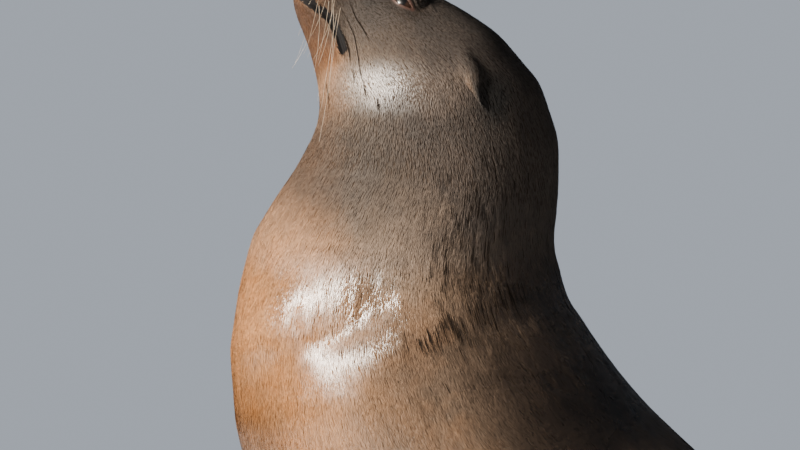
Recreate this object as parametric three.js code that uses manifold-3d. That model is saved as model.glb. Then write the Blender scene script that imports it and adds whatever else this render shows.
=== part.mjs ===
// A life-size still model of an adult female California sea lion, sitting up on its fore flippers
// with the head thrown back. Millimetres, +Z up. The animal faces -Y and its left side is +X.
import * as THREE from "three";
import { mergeVertices } from "three/addons/utils/BufferGeometryUtils.js";
import Module from "manifold-3d";

const wasm = await Module();
wasm.setup();

// ---------------------------------------------------------------- driving dimensions
const partGap = 0.35; // clear gap between neighbouring solids
const ringSegments = 28; // facets round the body
const floorLevel = 0; // every foot and the belly end in a flat here
const soleSink = 0.8; // cut off the soles to make their flats

const headPitch = THREE.MathUtils.degToRad(50); // the head's own axis above the horizontal
const mouthCorner = { y: -54.7, z: 744 }; // the head's own frame starts here

const eyeRadius = 18;
const eyePlace = { forward: 2, up: 76 }; // in the head's own frame
const eyeProud = 3.6; // how far the ball stands out of the socket's rim

const earLength = 40;
const earWidth = 15;
const earThickness = 6.5;
const earRoot = { y: 64, z: 727 };
const earDroop = THREE.MathUtils.degToRad(70); // below the horizontal, pointing backwards

const foreSpread = THREE.MathUtils.degToRad(33); // hand swept back from straight out to the side
const handLength = 322;
const hindSpread = THREE.MathUtils.degToRad(58); // hind foot turned forwards from straight out
const hindFootLength = 255;
const lobeDepth = 13; // notches between the toes' tips
const outerToeReach = 16; // the outer toes run this much further out
const heelPlace = { x: 92, y: 962 };
const nailLength = 22;
const nailRadius = 4.2;
const nailSides = [-21, 1, 23]; // the three middle toes, across the foot
const nailShare = 0.66; // how far along the foot the nails sit

// ---------------------------------------------------------------- colours
const coatColour = 0x7d6a5a;
const throatColour = 0xb18a66;
const flipperColour = 0x2b2623;
const eyeColour = 0x120d0a;
const nailColour = 0x1a1613;
const finish = (color) => new THREE.MeshStandardMaterial({ color, roughness: 0.5, metalness: 0 });

// A point given in the head's own frame: forwards along the head's axis and up across it.
function headPoint(forward, up) {
  const cos = Math.cos(headPitch);
  const sin = Math.sin(headPitch);
  return [mouthCorner.y - forward * cos + up * sin, mouthCorner.z + forward * sin + up * cos];
}

// Where the body is measured, from the nose to the tail: the back line's point and the belly line's
// point as [y, z], half the width, how high the widest level is (0 belly, 1 back), how square it is.
const bodyStations = [
  { name: "nose tip", back: headPoint(92.5, 36), belly: headPoint(92.5, 34), half: 1.5, level: 0.5, square: 2 },
  { name: "nose pad", back: headPoint(90.5, 45), belly: headPoint(91, 23), half: 14, level: 0.55, square: 2.3 },
  { name: "upper lip", back: headPoint(84, 51.5), belly: headPoint(86, 11), half: 25, level: 0.48, square: 2.4 },
  { name: "chin", back: headPoint(72, 57.5), belly: headPoint(74, -1), half: 33.5, level: 0.46, square: 2.4 },
  { name: "whisker pad", back: headPoint(56, 66), belly: headPoint(56, -10.5), half: 37, level: 0.46, square: 2.3 },
  { name: "muzzle root", back: headPoint(36, 78), belly: headPoint(35, -17.5), half: 38, level: 0.48, square: 2.2 },
  { name: "eye front", back: headPoint(16, 90), belly: headPoint(14, -26.5), half: 46, level: 0.52, square: 2.2 },
  { name: "brow", back: headPoint(-6, 101.5), belly: headPoint(-7, -37.5), half: 56.5, level: 0.54, square: 2.15 },
  { name: "cheek", back: headPoint(-32, 113), belly: headPoint(-27.5, -53), half: 67, level: 0.53, square: 2.1 },
  { name: "crown", back: [97, 762], belly: [-84, 666], half: 82, level: 0.52, square: 2.05 },
  { name: "nape top", back: [135, 717], belly: [-99, 638], half: 96, level: 0.5, square: 2 },
  { name: "nape", back: [153, 663], belly: [-121, 606], half: 110, level: 0.5, square: 2 },
  { name: "mid neck", back: [153, 614], belly: [-142, 571], half: 123, level: 0.5, square: 2 },
  { name: "neck root", back: [148, 562], belly: [-154.5, 525], half: 138, level: 0.49, square: 2 },
  { name: "withers", back: [161, 512], belly: [-164, 462], half: 154, level: 0.48, square: 2.05 },
  { name: "shoulder", back: [191, 467], belly: [-159, 395], half: 165, level: 0.46, square: 2.1 },
  { name: "breast", back: [231, 416], belly: [-130, 316], half: 169, level: 0.44, square: 2.1 },
  { name: "girth", back: [293, 357], belly: [-20, 208], half: 167, level: 0.42, square: 2.1 },
  { name: "ribs", back: [361, 299], belly: [128, 149], half: 161, level: 0.42, square: 2.1 },
  { name: "waist", back: [446, 251], belly: [280, 86], half: 153, level: 0.42, square: 2.1 },
  { name: "loin", back: [530, 214], belly: [412, 20], half: 144, level: 0.4, square: 2.1 },
  { name: "flank", back: [628, 184], belly: [545, -11], half: 131, level: 0.4, square: 2.1 },
  { name: "rump", back: [742, 163], belly: [690, -13], half: 117, level: 0.4, square: 2.1 },
  { name: "hip", back: [862, 139], belly: [825, -10], half: 99, level: 0.4, square: 2.1 },
  { name: "thigh", back: [966, 109], belly: [946, -2], half: 77, level: 0.42, square: 2.05 },
  { name: "tail base", back: [1042, 78], belly: [1032, 14], half: 46, level: 0.45, square: 2 },
  { name: "tail", back: [1086, 58], belly: [1081, 24], half: 22, level: 0.45, square: 2 },
  { name: "tail end", back: [1124, 46], belly: [1122, 29], half: 11, level: 0.45, square: 2 },
  { name: "tail tip", back: [1135, 39], belly: [1135, 37], half: 1, level: 0.5, square: 2 },
];

// Soft swellings and hollows: place, reach and how far the skin is lifted, mirrored left to right.
const headBulges = [
  { name: "whisker pad", at: onHead(62, 22, 34), reach: 21, lift: 5.5 },
  { name: "lip behind pad", at: onHead(34, 14, 36), reach: 15, lift: -2 },
  { name: "brow ridge", at: onHead(12, 92, 34), reach: 17, lift: 3.5 },
  { name: "hollow before eye", at: onHead(28, 66, 36), reach: 16, lift: -3 },
  { name: "cheek", at: onHead(-14, 30, 62), reach: 30, lift: 4 },
];
const bodyBulges = [
  { name: "shoulder point", at: new THREE.Vector3(135, -35, 432), reach: 78, lift: 9 },
  { name: "hollow over shoulder", at: new THREE.Vector3(140, -62, 505), reach: 52, lift: -5 },
  { name: "shoulder blade", at: new THREE.Vector3(150, 120, 400), reach: 95, lift: 6 },
  { name: "elbow", at: new THREE.Vector3(165, 95, 255), reach: 70, lift: 8 },
  { name: "thigh", at: new THREE.Vector3(98, 835, 66), reach: 85, lift: 8 },
];

function onHead(forward, up, side) {
  const [y, z] = headPoint(forward, up);
  return new THREE.Vector3(side, y, z);
}

// ---------------------------------------------------------------- making and cutting solids
const powered = (value, power) => Math.sign(value) * Math.abs(value) ** power;
const smoothRise = (from, to, value) => THREE.MathUtils.smoothstep(value, from, to);

// A closed skin over rings of points that all have the same number of points.
function skinOver(rings) {
  const count = rings[0].length;
  const points = rings.flat();
  const faces = [];
  for (let r = 0; r + 1 < rings.length; r++) {
    for (let s = 0; s < count; s++) {
      const next = (s + 1) % count;
      const [a, b] = [r * count + s, r * count + next];
      faces.push(a, b, b + count, a, b + count, a + count);
    }
  }
  for (const [ring, turned] of [[0, true], [rings.length - 1, false]]) {
    const middle = new THREE.Vector3();
    rings[ring].forEach((p) => middle.addScaledVector(p, 1 / count));
    const centre = points.push(middle) - 1;
    for (let s = 0; s < count; s++) {
      const [a, b] = [ring * count + s, ring * count + ((s + 1) % count)];
      faces.push(...(turned ? [b, a, centre] : [a, b, centre]));
    }
  }
  return new THREE.BufferGeometry().setFromPoints(points).setIndex(faces);
}

function solidOf(geometry) {
  const bare = geometry.clone();
  bare.deleteAttribute("normal");
  bare.deleteAttribute("uv");
  const merged = mergeVertices(bare, 1e-3);
  return new wasm.Manifold(new wasm.Mesh({
    numProp: 3,
    vertProperties: new Float32Array(merged.attributes.position.array),
    triVerts: new Uint32Array(merged.index.array),
  }));
}

function geometryOf(solid) {
  const { vertProperties, triVerts } = solid.getMesh();
  return new THREE.BufferGeometry()
    .setAttribute("position", new THREE.BufferAttribute(vertProperties, 3))
    .setIndex(new THREE.BufferAttribute(triVerts, 1));
}

// The largest piece of a solid, without the crumbs that a cut leaves.
function mainPiece(solid) {
  return solid.decompose().reduce((a, b) => (a.volume() > b.volume() ? a : b));
}

// ---------------------------------------------------------------- the body
function lifted(point, outwards, bulges) {
  const mirrored = new THREE.Vector3(Math.abs(point.x), point.y, point.z);
  let lift = 0;
  for (const bulge of bulges) {
    lift += bulge.lift * Math.exp(-((mirrored.distanceTo(bulge.at) / bulge.reach) ** 2));
  }
  return point.addScaledVector(outwards, lift);
}

const curveThrough = (points) => new THREE.CatmullRomCurve3(points, false, "catmullrom", 0.5);
const lineThrough = (key) => curveThrough(bodyStations.map((s) => new THREE.Vector3(0, ...s[key])));
const backLine = lineThrough("back");
const bellyLine = lineThrough("belly");
const sectionLine = curveThrough(
  bodyStations.map((s) => new THREE.Vector3(s.half, s.level * 100, s.square * 100)),
);

function bodyRing(along, grow) {
  const back = backLine.getPoint(along);
  const belly = bellyLine.getPoint(along);
  const { x: half, y: level, z: square } = sectionLine.getPoint(along);
  const up = back.clone().sub(belly).normalize();
  back.addScaledVector(up, grow);
  belly.addScaledVector(up, -grow);
  const middle = belly.clone().lerp(back, level / 100);
  const power = 200 / square;
  const ring = [];
  for (let s = 0; s < ringSegments; s++) {
    const turn = (-2 * Math.PI * s) / ringSegments;
    const rise = powered(Math.sin(turn), power);
    const side = powered(Math.cos(turn), power);
    const end = rise > 0 ? back : belly;
    const point = middle.clone().lerp(end, Math.abs(rise));
    point.x = side * (half + grow);
    const outwards = new THREE.Vector3(side, 0, 0).addScaledVector(up, rise).normalize();
    ring.push(lifted(point, outwards, [...headBulges, ...bodyBulges]));
  }
  return ring;
}

// Rings are close together on the head and further apart on the trunk.
function bodySolid(grow = 0) {
  const rings = [];
  const spans = bodyStations.length - 1;
  for (let span = 0; span < spans; span++) {
    const { back, belly } = bodyStations[span];
    const ahead = bodyStations[span + 1];
    const length = Math.max(
      Math.hypot(ahead.back[0] - back[0], ahead.back[1] - back[1]),
      Math.hypot(ahead.belly[0] - belly[0], ahead.belly[1] - belly[1]),
    );
    const spacing = span < 9 ? 12 : 46;
    const steps = Math.max(1, Math.round(length / spacing));
    for (let step = 0; step < steps; step++) rings.push(bodyRing((span + step / steps) / spans, grow));
  }
  rings.push(bodyRing(1, grow));
  return solidOf(skinOver(rings));
}

// ---------------------------------------------------------------- limbs
// The way the hind foot points, and the way to its outer toe.
const footWay = new THREE.Vector3(Math.cos(hindSpread), -Math.sin(hindSpread), 0);
const footEdge = new THREE.Vector3(Math.sin(hindSpread), Math.cos(hindSpread), 0);

function onFoot(share, side, height) {
  return new THREE.Vector3(heelPlace.x, heelPlace.y, 0)
    .addScaledVector(footWay, hindFootLength * share)
    .addScaledVector(footEdge, side)
    .setZ(height);
}

// Each limb is measured where it bends: centre, half chord from the trailing to the leading edge,
// half thickness. The leading edge is the thicker one. Past soleFrom the underside lies on the floor.
function limbSolid(stations, { segments, stepsPerSpan, edgeThinning, soleFrom = 2, tipShape = () => 0 }) {
  const centres = curveThrough(stations.map((s) => s.at));
  const edges = curveThrough(stations.map((s) => s.leading));
  const sizes = curveThrough(stations.map((s) => new THREE.Vector3(s.chord, s.thick, 0)));
  const steps = (stations.length - 1) * stepsPerSpan;
  const rings = [];
  for (let step = 0; step <= steps; step++) {
    const along = step / steps;
    const centre = centres.getPoint(along);
    const tangent = centres.getTangent(along);
    const leading = edges.getPoint(along);
    leading.addScaledVector(tangent, -leading.dot(tangent)).normalize();
    const across = tangent.clone().cross(leading).normalize();
    const { x: chord, y: thick } = sizes.getPoint(along);
    const onSole = smoothRise(soleFrom - 0.12, soleFrom, along);
    const ring = [];
    for (let s = 0; s < segments; s++) {
      const turn = (2 * Math.PI * s) / segments;
      const side = Math.cos(turn);
      const taper = 1 - edgeThinning * (0.5 - 0.5 * side) * smoothRise(0.25, 0.6, along);
      const point = centre.clone()
        .addScaledVector(leading, side * chord)
        .addScaledVector(across, Math.sin(turn) * thick * taper)
        .addScaledVector(tangent, tipShape(along, side));
      if (point.z < centre.z && onSole > 0) {
        const sole = centre.z - (centre.z - floorLevel + soleSink) * Math.abs(Math.sin(turn)) ** 0.5;
        point.z = THREE.MathUtils.lerp(point.z, sole, onSole);
      }
      ring.push(point);
    }
    rings.push(ring);
  }
  return solidOf(skinOver(rings));
}

function foreLimb() {
  const out = new THREE.Vector3(Math.cos(foreSpread), Math.sin(foreSpread), 0);
  const handEdge = new THREE.Vector3(Math.sin(foreSpread), -Math.cos(foreSpread), 0);
  const forwards = new THREE.Vector3(0, -1, 0);
  const wrist = new THREE.Vector3(193, 62, 34);
  const onHand = (share, sweep, height) =>
    wrist.clone().addScaledVector(out, handLength * share).addScaledVector(handEdge, -sweep).setZ(height);
  return limbSolid([
    { at: new THREE.Vector3(110, 62, 290), leading: forwards, chord: 84, thick: 44 },
    { at: new THREE.Vector3(136, 74, 215), leading: forwards, chord: 80, thick: 43 },
    { at: new THREE.Vector3(161, 74, 142), leading: forwards, chord: 70, thick: 36 },
    { at: new THREE.Vector3(179, 67, 80), leading: forwards, chord: 62, thick: 27 },
    { at: wrist, leading: forwards.clone().lerp(handEdge, 0.5), chord: 64, thick: 21 },
    { at: onHand(0.16, 2, 15), leading: handEdge, chord: 72, thick: 16.5 },
    { at: onHand(0.38, 6, 11), leading: handEdge, chord: 76, thick: 12.5 },
    { at: onHand(0.6, 14, 8.6), leading: handEdge, chord: 69, thick: 9.8 },
    { at: onHand(0.8, 28, 6.6), leading: handEdge, chord: 53, thick: 7.6 },
    { at: onHand(0.94, 43, 5), leading: handEdge, chord: 33, thick: 5.8 },
    { at: onHand(1, 51, 4.2), leading: handEdge, chord: 10, thick: 4.4 },
  ], { segments: 18, stepsPerSpan: 2, edgeThinning: 0.45, soleFrom: 0.52 });
}

function hindLimb() {
  // The web between the five toes runs out in lobes, with the outer two the longest.
  const lobes = (along, side) => {
    const lobe = lobeDepth * Math.abs(Math.sin(2.5 * Math.PI * (side + 1)));
    return (lobe + outerToeReach * side * side) * smoothRise(0.74, 1, along);
  };
  return limbSolid([
    { at: new THREE.Vector3(34, 988, 48), leading: footEdge, chord: 46, thick: 40 },
    { at: new THREE.Vector3(70, 974, 38), leading: footEdge, chord: 46, thick: 34 },
    { at: new THREE.Vector3(97, 950, 27), leading: footEdge, chord: 43, thick: 27 },
    { at: onFoot(0.2, 0, 19), leading: footEdge, chord: 41, thick: 20 },
    { at: onFoot(0.42, 0, 13), leading: footEdge, chord: 45, thick: 14 },
    { at: onFoot(0.68, 0, 8), leading: footEdge, chord: 56, thick: 9 },
    { at: onFoot(0.9, 0, 5), leading: footEdge, chord: 66, thick: 5.6 },
    { at: onFoot(1, 0, 4), leading: footEdge, chord: 68, thick: 4.3 },
  ], { segments: 22, stepsPerSpan: 2, edgeThinning: 0.2, soleFrom: 0.42, tipShape: lobes });
}

// ---------------------------------------------------------------- cutters
function halfSpace(through, along) {
  const size = 4000;
  const box = new THREE.BoxGeometry(size, size, size);
  box.translate(0, 0, size / 2 + partGap / 2);
  box.applyQuaternion(new THREE.Quaternion().setFromUnitVectors(new THREE.Vector3(0, 0, 1), along));
  box.translate(through.x, through.y, through.z);
  return solidOf(box);
}

const aboveFloor = (() => {
  const box = new THREE.BoxGeometry(4000, 4000, 2000);
  box.translate(0, 0, 1000 + floorLevel);
  return solidOf(box);
})();

// Splits a solid across the body at one of its stations: [nose side, tail side].
function splitAt(solid, stationName, shift = 0) {
  const index = bodyStations.findIndex((s) => s.name === stationName) + shift;
  const along = index / (bodyStations.length - 1);
  const back = backLine.getPoint(along);
  const belly = bellyLine.getPoint(along);
  const up = back.clone().sub(belly).normalize();
  const towardsTail = new THREE.Vector3(1, 0, 0).cross(up).negate();
  if (towardsTail.dot(backLine.getTangent(along)) < 0) towardsTail.negate();
  const through = belly.lerp(back, 0.5);
  return [
    mainPiece(solid.intersect(halfSpace(through, towardsTail.clone().negate()))),
    mainPiece(solid.intersect(halfSpace(through, towardsTail))),
  ];
}

// The lower jaw is what lies under the mouth line, back to the mouth's corner and down to the throat.
function jawRegion(grow) {
  const lift = (forward, up) => new THREE.Vector2(...headPoint(forward, up));
  const shape = new THREE.Shape();
  const corner = lift(-grow, grow);
  const mouthLine = new THREE.SplineCurve([
    corner,
    lift(16, 7 + grow),
    lift(37, 12 + grow),
    lift(56, 7.5 + grow),
    lift(74, 5 + grow),
    lift(83, 6 + grow),
  ]).getPoints(16);
  shape.moveTo(corner.x, corner.y);
  mouthLine.slice(1).forEach((p) => shape.lineTo(p.x, p.y));
  const frontLip = lift(79 + grow, -30);
  const throat = lift(4 - grow, -60);
  shape.lineTo(frontLip.x, frontLip.y);
  shape.lineTo(throat.x, throat.y);
  shape.closePath();
  const slab = new THREE.ExtrudeGeometry(shape, { depth: 200, bevelEnabled: false });
  slab.translate(0, 0, -100);
  // The shape is drawn in (y, z), so its x becomes y, its y becomes z and its depth becomes x.
  slab.applyMatrix4(new THREE.Matrix4().set(0, 0, 1, 0, 1, 0, 0, 0, 0, 1, 0, 0, 0, 0, 0, 1));
  return solidOf(slab);
}

function ball(centre, radius, widthSegments = 16, heightSegments = 10) {
  const sphere = new THREE.SphereGeometry(radius, widthSegments, heightSegments);
  sphere.translate(centre.x, centre.y, centre.z);
  return solidOf(sphere);
}

// Where a straight line first meets a geometry.
function firstHit(geometry, from, way) {
  const mesh = new THREE.Mesh(geometry, new THREE.MeshBasicMaterial({ side: THREE.DoubleSide }));
  return new THREE.Raycaster(from, way).intersectObject(mesh)[0].point;
}

function sideOf(geometry, y, z) {
  return firstHit(geometry, new THREE.Vector3(2000, y, z), new THREE.Vector3(-1, 0, 0));
}

function topOf(geometry, x, y) {
  return firstHit(geometry, new THREE.Vector3(x, y, 2000), new THREE.Vector3(0, 0, -1));
}

// ---------------------------------------------------------------- small pieces
// A leaf-like ear, rolled to a point, that lies back along the head.
function earSolid(root) {
  const point = new THREE.Vector3(0.28, Math.cos(earDroop), -Math.sin(earDroop)).normalize();
  const sideways = new THREE.Vector3(0, Math.sin(earDroop), Math.cos(earDroop));
  const at = (share, out) => root.clone().addScaledVector(point, earLength * share).setX(root.x + out);
  return limbSolid([
    { at: at(-0.2, -7), leading: sideways, chord: earWidth * 0.46, thick: earThickness * 0.62 },
    { at: at(0.12, 2.5), leading: sideways, chord: earWidth * 0.5, thick: earThickness * 0.6 },
    { at: at(0.45, 6.5), leading: sideways, chord: earWidth * 0.48, thick: earThickness * 0.5 },
    { at: at(0.78, 8), leading: sideways, chord: earWidth * 0.3, thick: earThickness * 0.42 },
    { at: at(1, 8.5), leading: sideways, chord: earWidth * 0.1, thick: earThickness * 0.25 },
  ], { segments: 10, stepsPerSpan: 2, edgeThinning: 0.15 });
}

// A spindle that lies half sunk along its toe.
function nailSolid(foot, share, side) {
  const flat = onFoot(share, side, 0);
  const seat = topOf(foot, flat.x, flat.y);
  const profile = new THREE.EllipseCurve(0, 0, nailRadius, nailLength / 2, -Math.PI / 2, Math.PI / 2)
    .getPoints(6);
  profile[0].x = 0;
  profile[profile.length - 1].x = 0;
  const nail = new THREE.LatheGeometry(profile, 8);
  nail.applyQuaternion(new THREE.Quaternion().setFromUnitVectors(new THREE.Vector3(0, 1, 0), footWay));
  nail.translate(seat.x, seat.y, seat.z + nailRadius * 0.3);
  return solidOf(nail);
}

// ---------------------------------------------------------------- assembly
const mirror = (solid) => {
  const geometry = geometryOf(solid);
  geometry.scale(-1, 1, 1);
  const index = geometry.index.array;
  for (let i = 0; i < index.length; i += 3) [index[i + 1], index[i + 2]] = [index[i + 2], index[i + 1]];
  return solidOf(geometry);
};

const parts = new Map();
const addPart = (name, solid, color) => parts.set(name, { solid, color });
const addPair = (name, solid, color) => {
  addPart(`${name}_left`, solid, color);
  addPart(`${name}_right`, mirror(solid), color);
};

const wholeBody = bodySolid().intersect(aboveFloor);
const grownHalf = bodySolid(partGap);
const grownBody = grownHalf.add(mirror(grownHalf));
const wholeGeometry = geometryOf(wholeBody);

// Limbs stop short of the body.
const fore = mainPiece(foreLimb().subtract(grownBody).intersect(aboveFloor));
const wristPlane = {
  through: new THREE.Vector3(184, 64, 66),
  along: new THREE.Vector3(0.45, 0.1, -0.89).normalize(),
};
const forearm = mainPiece(fore.intersect(halfSpace(wristPlane.through, wristPlane.along.clone().negate())));
const hand = mainPiece(fore.intersect(halfSpace(wristPlane.through, wristPlane.along)));
const hind = mainPiece(hindLimb().subtract(grownBody).intersect(aboveFloor));

// Ears, eyes and the nose are let into the head.
const earSeat = sideOf(wholeGeometry, earRoot.y, earRoot.z);
const ear = mainPiece(earSolid(earSeat).subtract(grownBody));
const [eyeY, eyeZ] = headPoint(eyePlace.forward, eyePlace.up);
const eyeSeat = sideOf(wholeGeometry, eyeY, eyeZ);
const eyeOutwards = new THREE.Vector3(0.86, -0.32, 0.4).normalize();
const eyeCentre = eyeSeat.clone().addScaledVector(eyeOutwards, eyeProud - eyeRadius);
const eye = ball(eyeCentre, eyeRadius);
const socket = ball(eyeCentre, eyeRadius + partGap);
const sockets = socket.add(mirror(socket));

const [headEnd, restOfBody] = splitAt(wholeBody.subtract(sockets), "crown", -0.35);
const [neck, behindNeck] = splitAt(restOfBody, "neck root");
const [chest, behindChest] = splitAt(behindNeck, "girth", 0.4);
const [trunk, behindTrunk] = splitAt(behindChest, "flank", -0.2);
const [hips, tail] = splitAt(behindTrunk, "tail base", -0.15);

const noseCut = (() => {
  const [y, z] = headPoint(86.5, 42);
  const along = new THREE.Vector3(0, -Math.cos(headPitch - 0.35), Math.sin(headPitch - 0.35));
  const turned = new THREE.Vector3(0, -Math.cos(headPitch + 0.5), Math.sin(headPitch + 0.5));
  return { through: new THREE.Vector3(0, y, z), along: turned.lerp(along, 0.25).normalize() };
})();
const jaw = mainPiece(headEnd.intersect(jawRegion(0)));
const upperHead = mainPiece(headEnd.subtract(jawRegion(partGap)));
const nose = mainPiece(upperHead.intersect(halfSpace(noseCut.through, noseCut.along)));
const head = mainPiece(upperHead.intersect(halfSpace(noseCut.through, noseCut.along.clone().negate())));

addPart("head", head, coatColour);
addPart("lower_jaw", jaw, throatColour);
addPart("nose", nose, flipperColour);
addPair("eye", eye, eyeColour);
addPair("ear", ear, coatColour);
addPart("neck", neck, coatColour);
addPart("chest", chest, throatColour);
addPart("trunk", trunk, coatColour);
addPart("hips", hips, coatColour);
addPart("tail", tail, coatColour);
addPair("forearm", forearm, coatColour);
addPair("fore_flipper", hand, flipperColour);
addPair("hind_flipper", hind, flipperColour);

const hindTop = geometryOf(hind);
nailSides.forEach((side, toe) => {
  const nail = nailSolid(hindTop, nailShare + 0.02 * Math.abs(toe - 1), side);
  addPair(`hind_nail_${toe + 2}`, nail.subtract(hind.translate(0, 0, partGap)), nailColour);
});

// The origin is on the floor, midway along the animal.
const sealion = new THREE.Group();
for (const [name, { solid, color }] of parts) {
  const mesh = new THREE.Mesh(geometryOf(solid.simplify(0.1).intersect(aboveFloor)), finish(color));
  mesh.name = name;
  sealion.add(mesh);
}
const reach = new THREE.Box3().setFromObject(sealion);
const midLength = (reach.min.y + reach.max.y) / 2;
sealion.children.forEach((mesh) => mesh.position.setY(-midLength));

export default sealion;
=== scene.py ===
import math
import bpy
import bmesh
import numpy as np
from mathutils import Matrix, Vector


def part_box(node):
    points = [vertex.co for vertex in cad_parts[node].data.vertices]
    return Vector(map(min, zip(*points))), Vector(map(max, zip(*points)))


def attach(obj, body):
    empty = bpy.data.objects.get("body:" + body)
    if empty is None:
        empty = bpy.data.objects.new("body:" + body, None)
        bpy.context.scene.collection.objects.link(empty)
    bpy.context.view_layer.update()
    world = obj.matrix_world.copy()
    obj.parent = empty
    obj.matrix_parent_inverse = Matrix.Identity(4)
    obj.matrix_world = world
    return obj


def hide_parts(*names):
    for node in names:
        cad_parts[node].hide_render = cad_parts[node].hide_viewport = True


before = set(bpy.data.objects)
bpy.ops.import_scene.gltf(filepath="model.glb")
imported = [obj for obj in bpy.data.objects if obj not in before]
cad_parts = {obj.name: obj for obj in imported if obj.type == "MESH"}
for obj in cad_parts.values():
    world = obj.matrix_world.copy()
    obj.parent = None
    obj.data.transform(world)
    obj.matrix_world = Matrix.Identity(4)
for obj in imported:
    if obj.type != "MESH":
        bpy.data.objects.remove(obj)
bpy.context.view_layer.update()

print("frame loaded")

# the animal's own frames

headSet = {"corner": (0.0, -0.5402, 0.744), "pitch": math.radians(50)}  # mouth's corner, muzzle's rise
headOrigin = np.array(headSet["corner"])
headForward = np.array([0.0, -math.cos(headSet["pitch"]), math.sin(headSet["pitch"])])
headUp = np.array([0.0, math.sin(headSet["pitch"]), math.cos(headSet["pitch"])])

# the body's axis from nose to tail: y, z, half depth, half width
spineSet = [
    (-0.5729, 0.8374, 0.004, 0.004),
    (-0.5403, 0.7909, 0.048, 0.038),
    (-0.5118, 0.7600, 0.070, 0.056),
    (-0.4790, 0.7140, 0.102, 0.082),
    (-0.4695, 0.6345, 0.140, 0.110),
    (-0.4885, 0.5435, 0.152, 0.138),
    (-0.4870, 0.4870, 0.164, 0.154),
    (-0.4355, 0.3660, 0.187, 0.169),
    (-0.3495, 0.2820, 0.173, 0.167),
    (-0.2415, 0.2240, 0.139, 0.161),
    (-0.1225, 0.1680, 0.117, 0.153),
    (0.1005, 0.0860, 0.106, 0.131),
    (0.2305, 0.0750, 0.092, 0.117),
    (0.3575, 0.0640, 0.077, 0.099),
    (0.4705, 0.0530, 0.056, 0.077),
    (0.5515, 0.0460, 0.032, 0.046),
    (0.5975, 0.0410, 0.017, 0.022),
    (0.6495, 0.0380, 0.004, 0.004),
]

spineRuns = np.cumsum([0.0] + [math.dist(low[:2], high[:2]) for low, high in zip(spineSet, spineSet[1:])])

# the left limbs' axes: x, y, z, half width
foreSet = [
    (0.110, -0.4235, 0.290, 0.084), (0.136, -0.4115, 0.215, 0.080), (0.161, -0.4115, 0.142, 0.070),
    (0.179, -0.4185, 0.080, 0.062), (0.196, -0.4200, 0.034, 0.064), (0.292, -0.3523, 0.011, 0.076),
    (0.370, -0.2847, 0.0075, 0.062), (0.436, -0.2100, 0.004, 0.010),
]
hindSet = [
    (0.034, 0.5025, 0.048, 0.046), (0.070, 0.4885, 0.038, 0.046), (0.097, 0.4645, 0.027, 0.043),
    (0.150, 0.3840, 0.013, 0.046), (0.205, 0.2970, 0.006, 0.062), (0.226, 0.2620, 0.004, 0.068),
]


def smoothStep(low, high, value):
    share = np.clip((value - low) / (high - low), 0, 1)
    return share * share * (3 - 2 * share)


def bell(value, width):
    return np.exp(-((value / width) ** 2))


def headCoords(points):
    offset = points - headOrigin
    return offset @ headForward, offset @ headUp, offset[:, 0]


def alongLine(points, line):
    # nearest place on a polyline: share of its length, the offset from it, its direction, its sizes there
    stations = np.array(line)
    width = points.shape[1]
    best = np.full(len(points), 1e9)
    share = np.zeros(len(points))
    offset = np.zeros_like(points)
    direction = np.zeros_like(points)
    sizes = np.zeros((len(points), stations.shape[1] - width))
    lengths = np.linalg.norm(np.diff(stations[:, :width], axis=0), axis=1)
    starts = np.concatenate([[0], np.cumsum(lengths)])
    for k in range(len(stations) - 1):
        a, b = stations[k, :width], stations[k + 1, :width]
        t = np.clip((points - a) @ (b - a) / lengths[k] ** 2, 0, 1)
        foot = a + t[:, None] * (b - a)
        gap = np.linalg.norm(points - foot, axis=1)
        closer = gap < best
        best[closer] = gap[closer]
        share[closer] = (starts[k] + t[closer] * lengths[k]) / starts[-1]
        offset[closer] = (points - foot)[closer]
        direction[closer] = (b - a) / lengths[k]
        blended = stations[k, width:] + t[:, None] * (stations[k + 1, width:] - stations[k, width:])
        sizes[closer] = blended[closer]
    return share, offset, direction, sizes


def onLeft(points):
    mirrored = points.copy()
    mirrored[:, 0] = np.abs(mirrored[:, 0])
    return mirrored


def bodyCoords(points):
    # where a point lies on the animal: place along it, height over the axis, how far out, and the limbs
    along, offset, direction, sizes = alongLine(points[:, 1:], spineSet)
    across = offset[:, 0] * -direction[:, 1] + offset[:, 1] * direction[:, 0]
    dorsal = across / sizes[:, 0]
    outward = np.hypot(dorsal, points[:, 0] / sizes[:, 1])
    foreAlong, foreOffset, foreWay, _ = alongLine(onLeft(points), foreSet)
    hindAlong, hindOffset, hindWay, _ = alongLine(onLeft(points), hindSet)
    isFore = np.linalg.norm(foreOffset, axis=1) < np.linalg.norm(hindOffset, axis=1)
    limb = smoothStep(1.06, 1.3, outward) * (along > 0.3)
    flow = np.zeros_like(points)
    flow[:, 1:] = direction
    limbWay = np.where(isFore[:, None], foreWay, hindWay)
    limbWay[:, 0] *= np.sign(points[:, 0])
    flow = flow * (1 - limb[:, None]) + limbWay * limb[:, None]
    return {
        "along": along, "dorsal": dorsal, "outward": outward, "limb": limb, "isFore": isFore,
        "foreAlong": foreAlong, "hindAlong": hindAlong, "flow": flow,
    }


# nodes of the materials


def setOn(node, inputs):
    # numbers are set on the sockets, other nodes' outputs are linked to them
    for key, value in inputs.items():
        if isinstance(value, bpy.types.NodeSocket):
            node.id_data.links.new(value, node.inputs[key])
        else:
            node.inputs[key].default_value = value


def addNode(tree, kind, inputs=None, **settings):
    node = tree.nodes.new("ShaderNode" + kind)
    for key, value in settings.items():
        setattr(node, key, value)
    setOn(node, inputs or {})
    return node


def mixed(tree, share, first, second):
    first, second = (
        value if isinstance(value, bpy.types.NodeSocket) else (*value, 1) for value in (first, second)
    )
    return addNode(tree, "Mix", {0: share, 6: first, 7: second}, data_type="RGBA").outputs[2]


def maths(tree, operation, first, second):
    return addNode(tree, "Math", {0: first, 1: second}, operation=operation).outputs[0]


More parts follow.
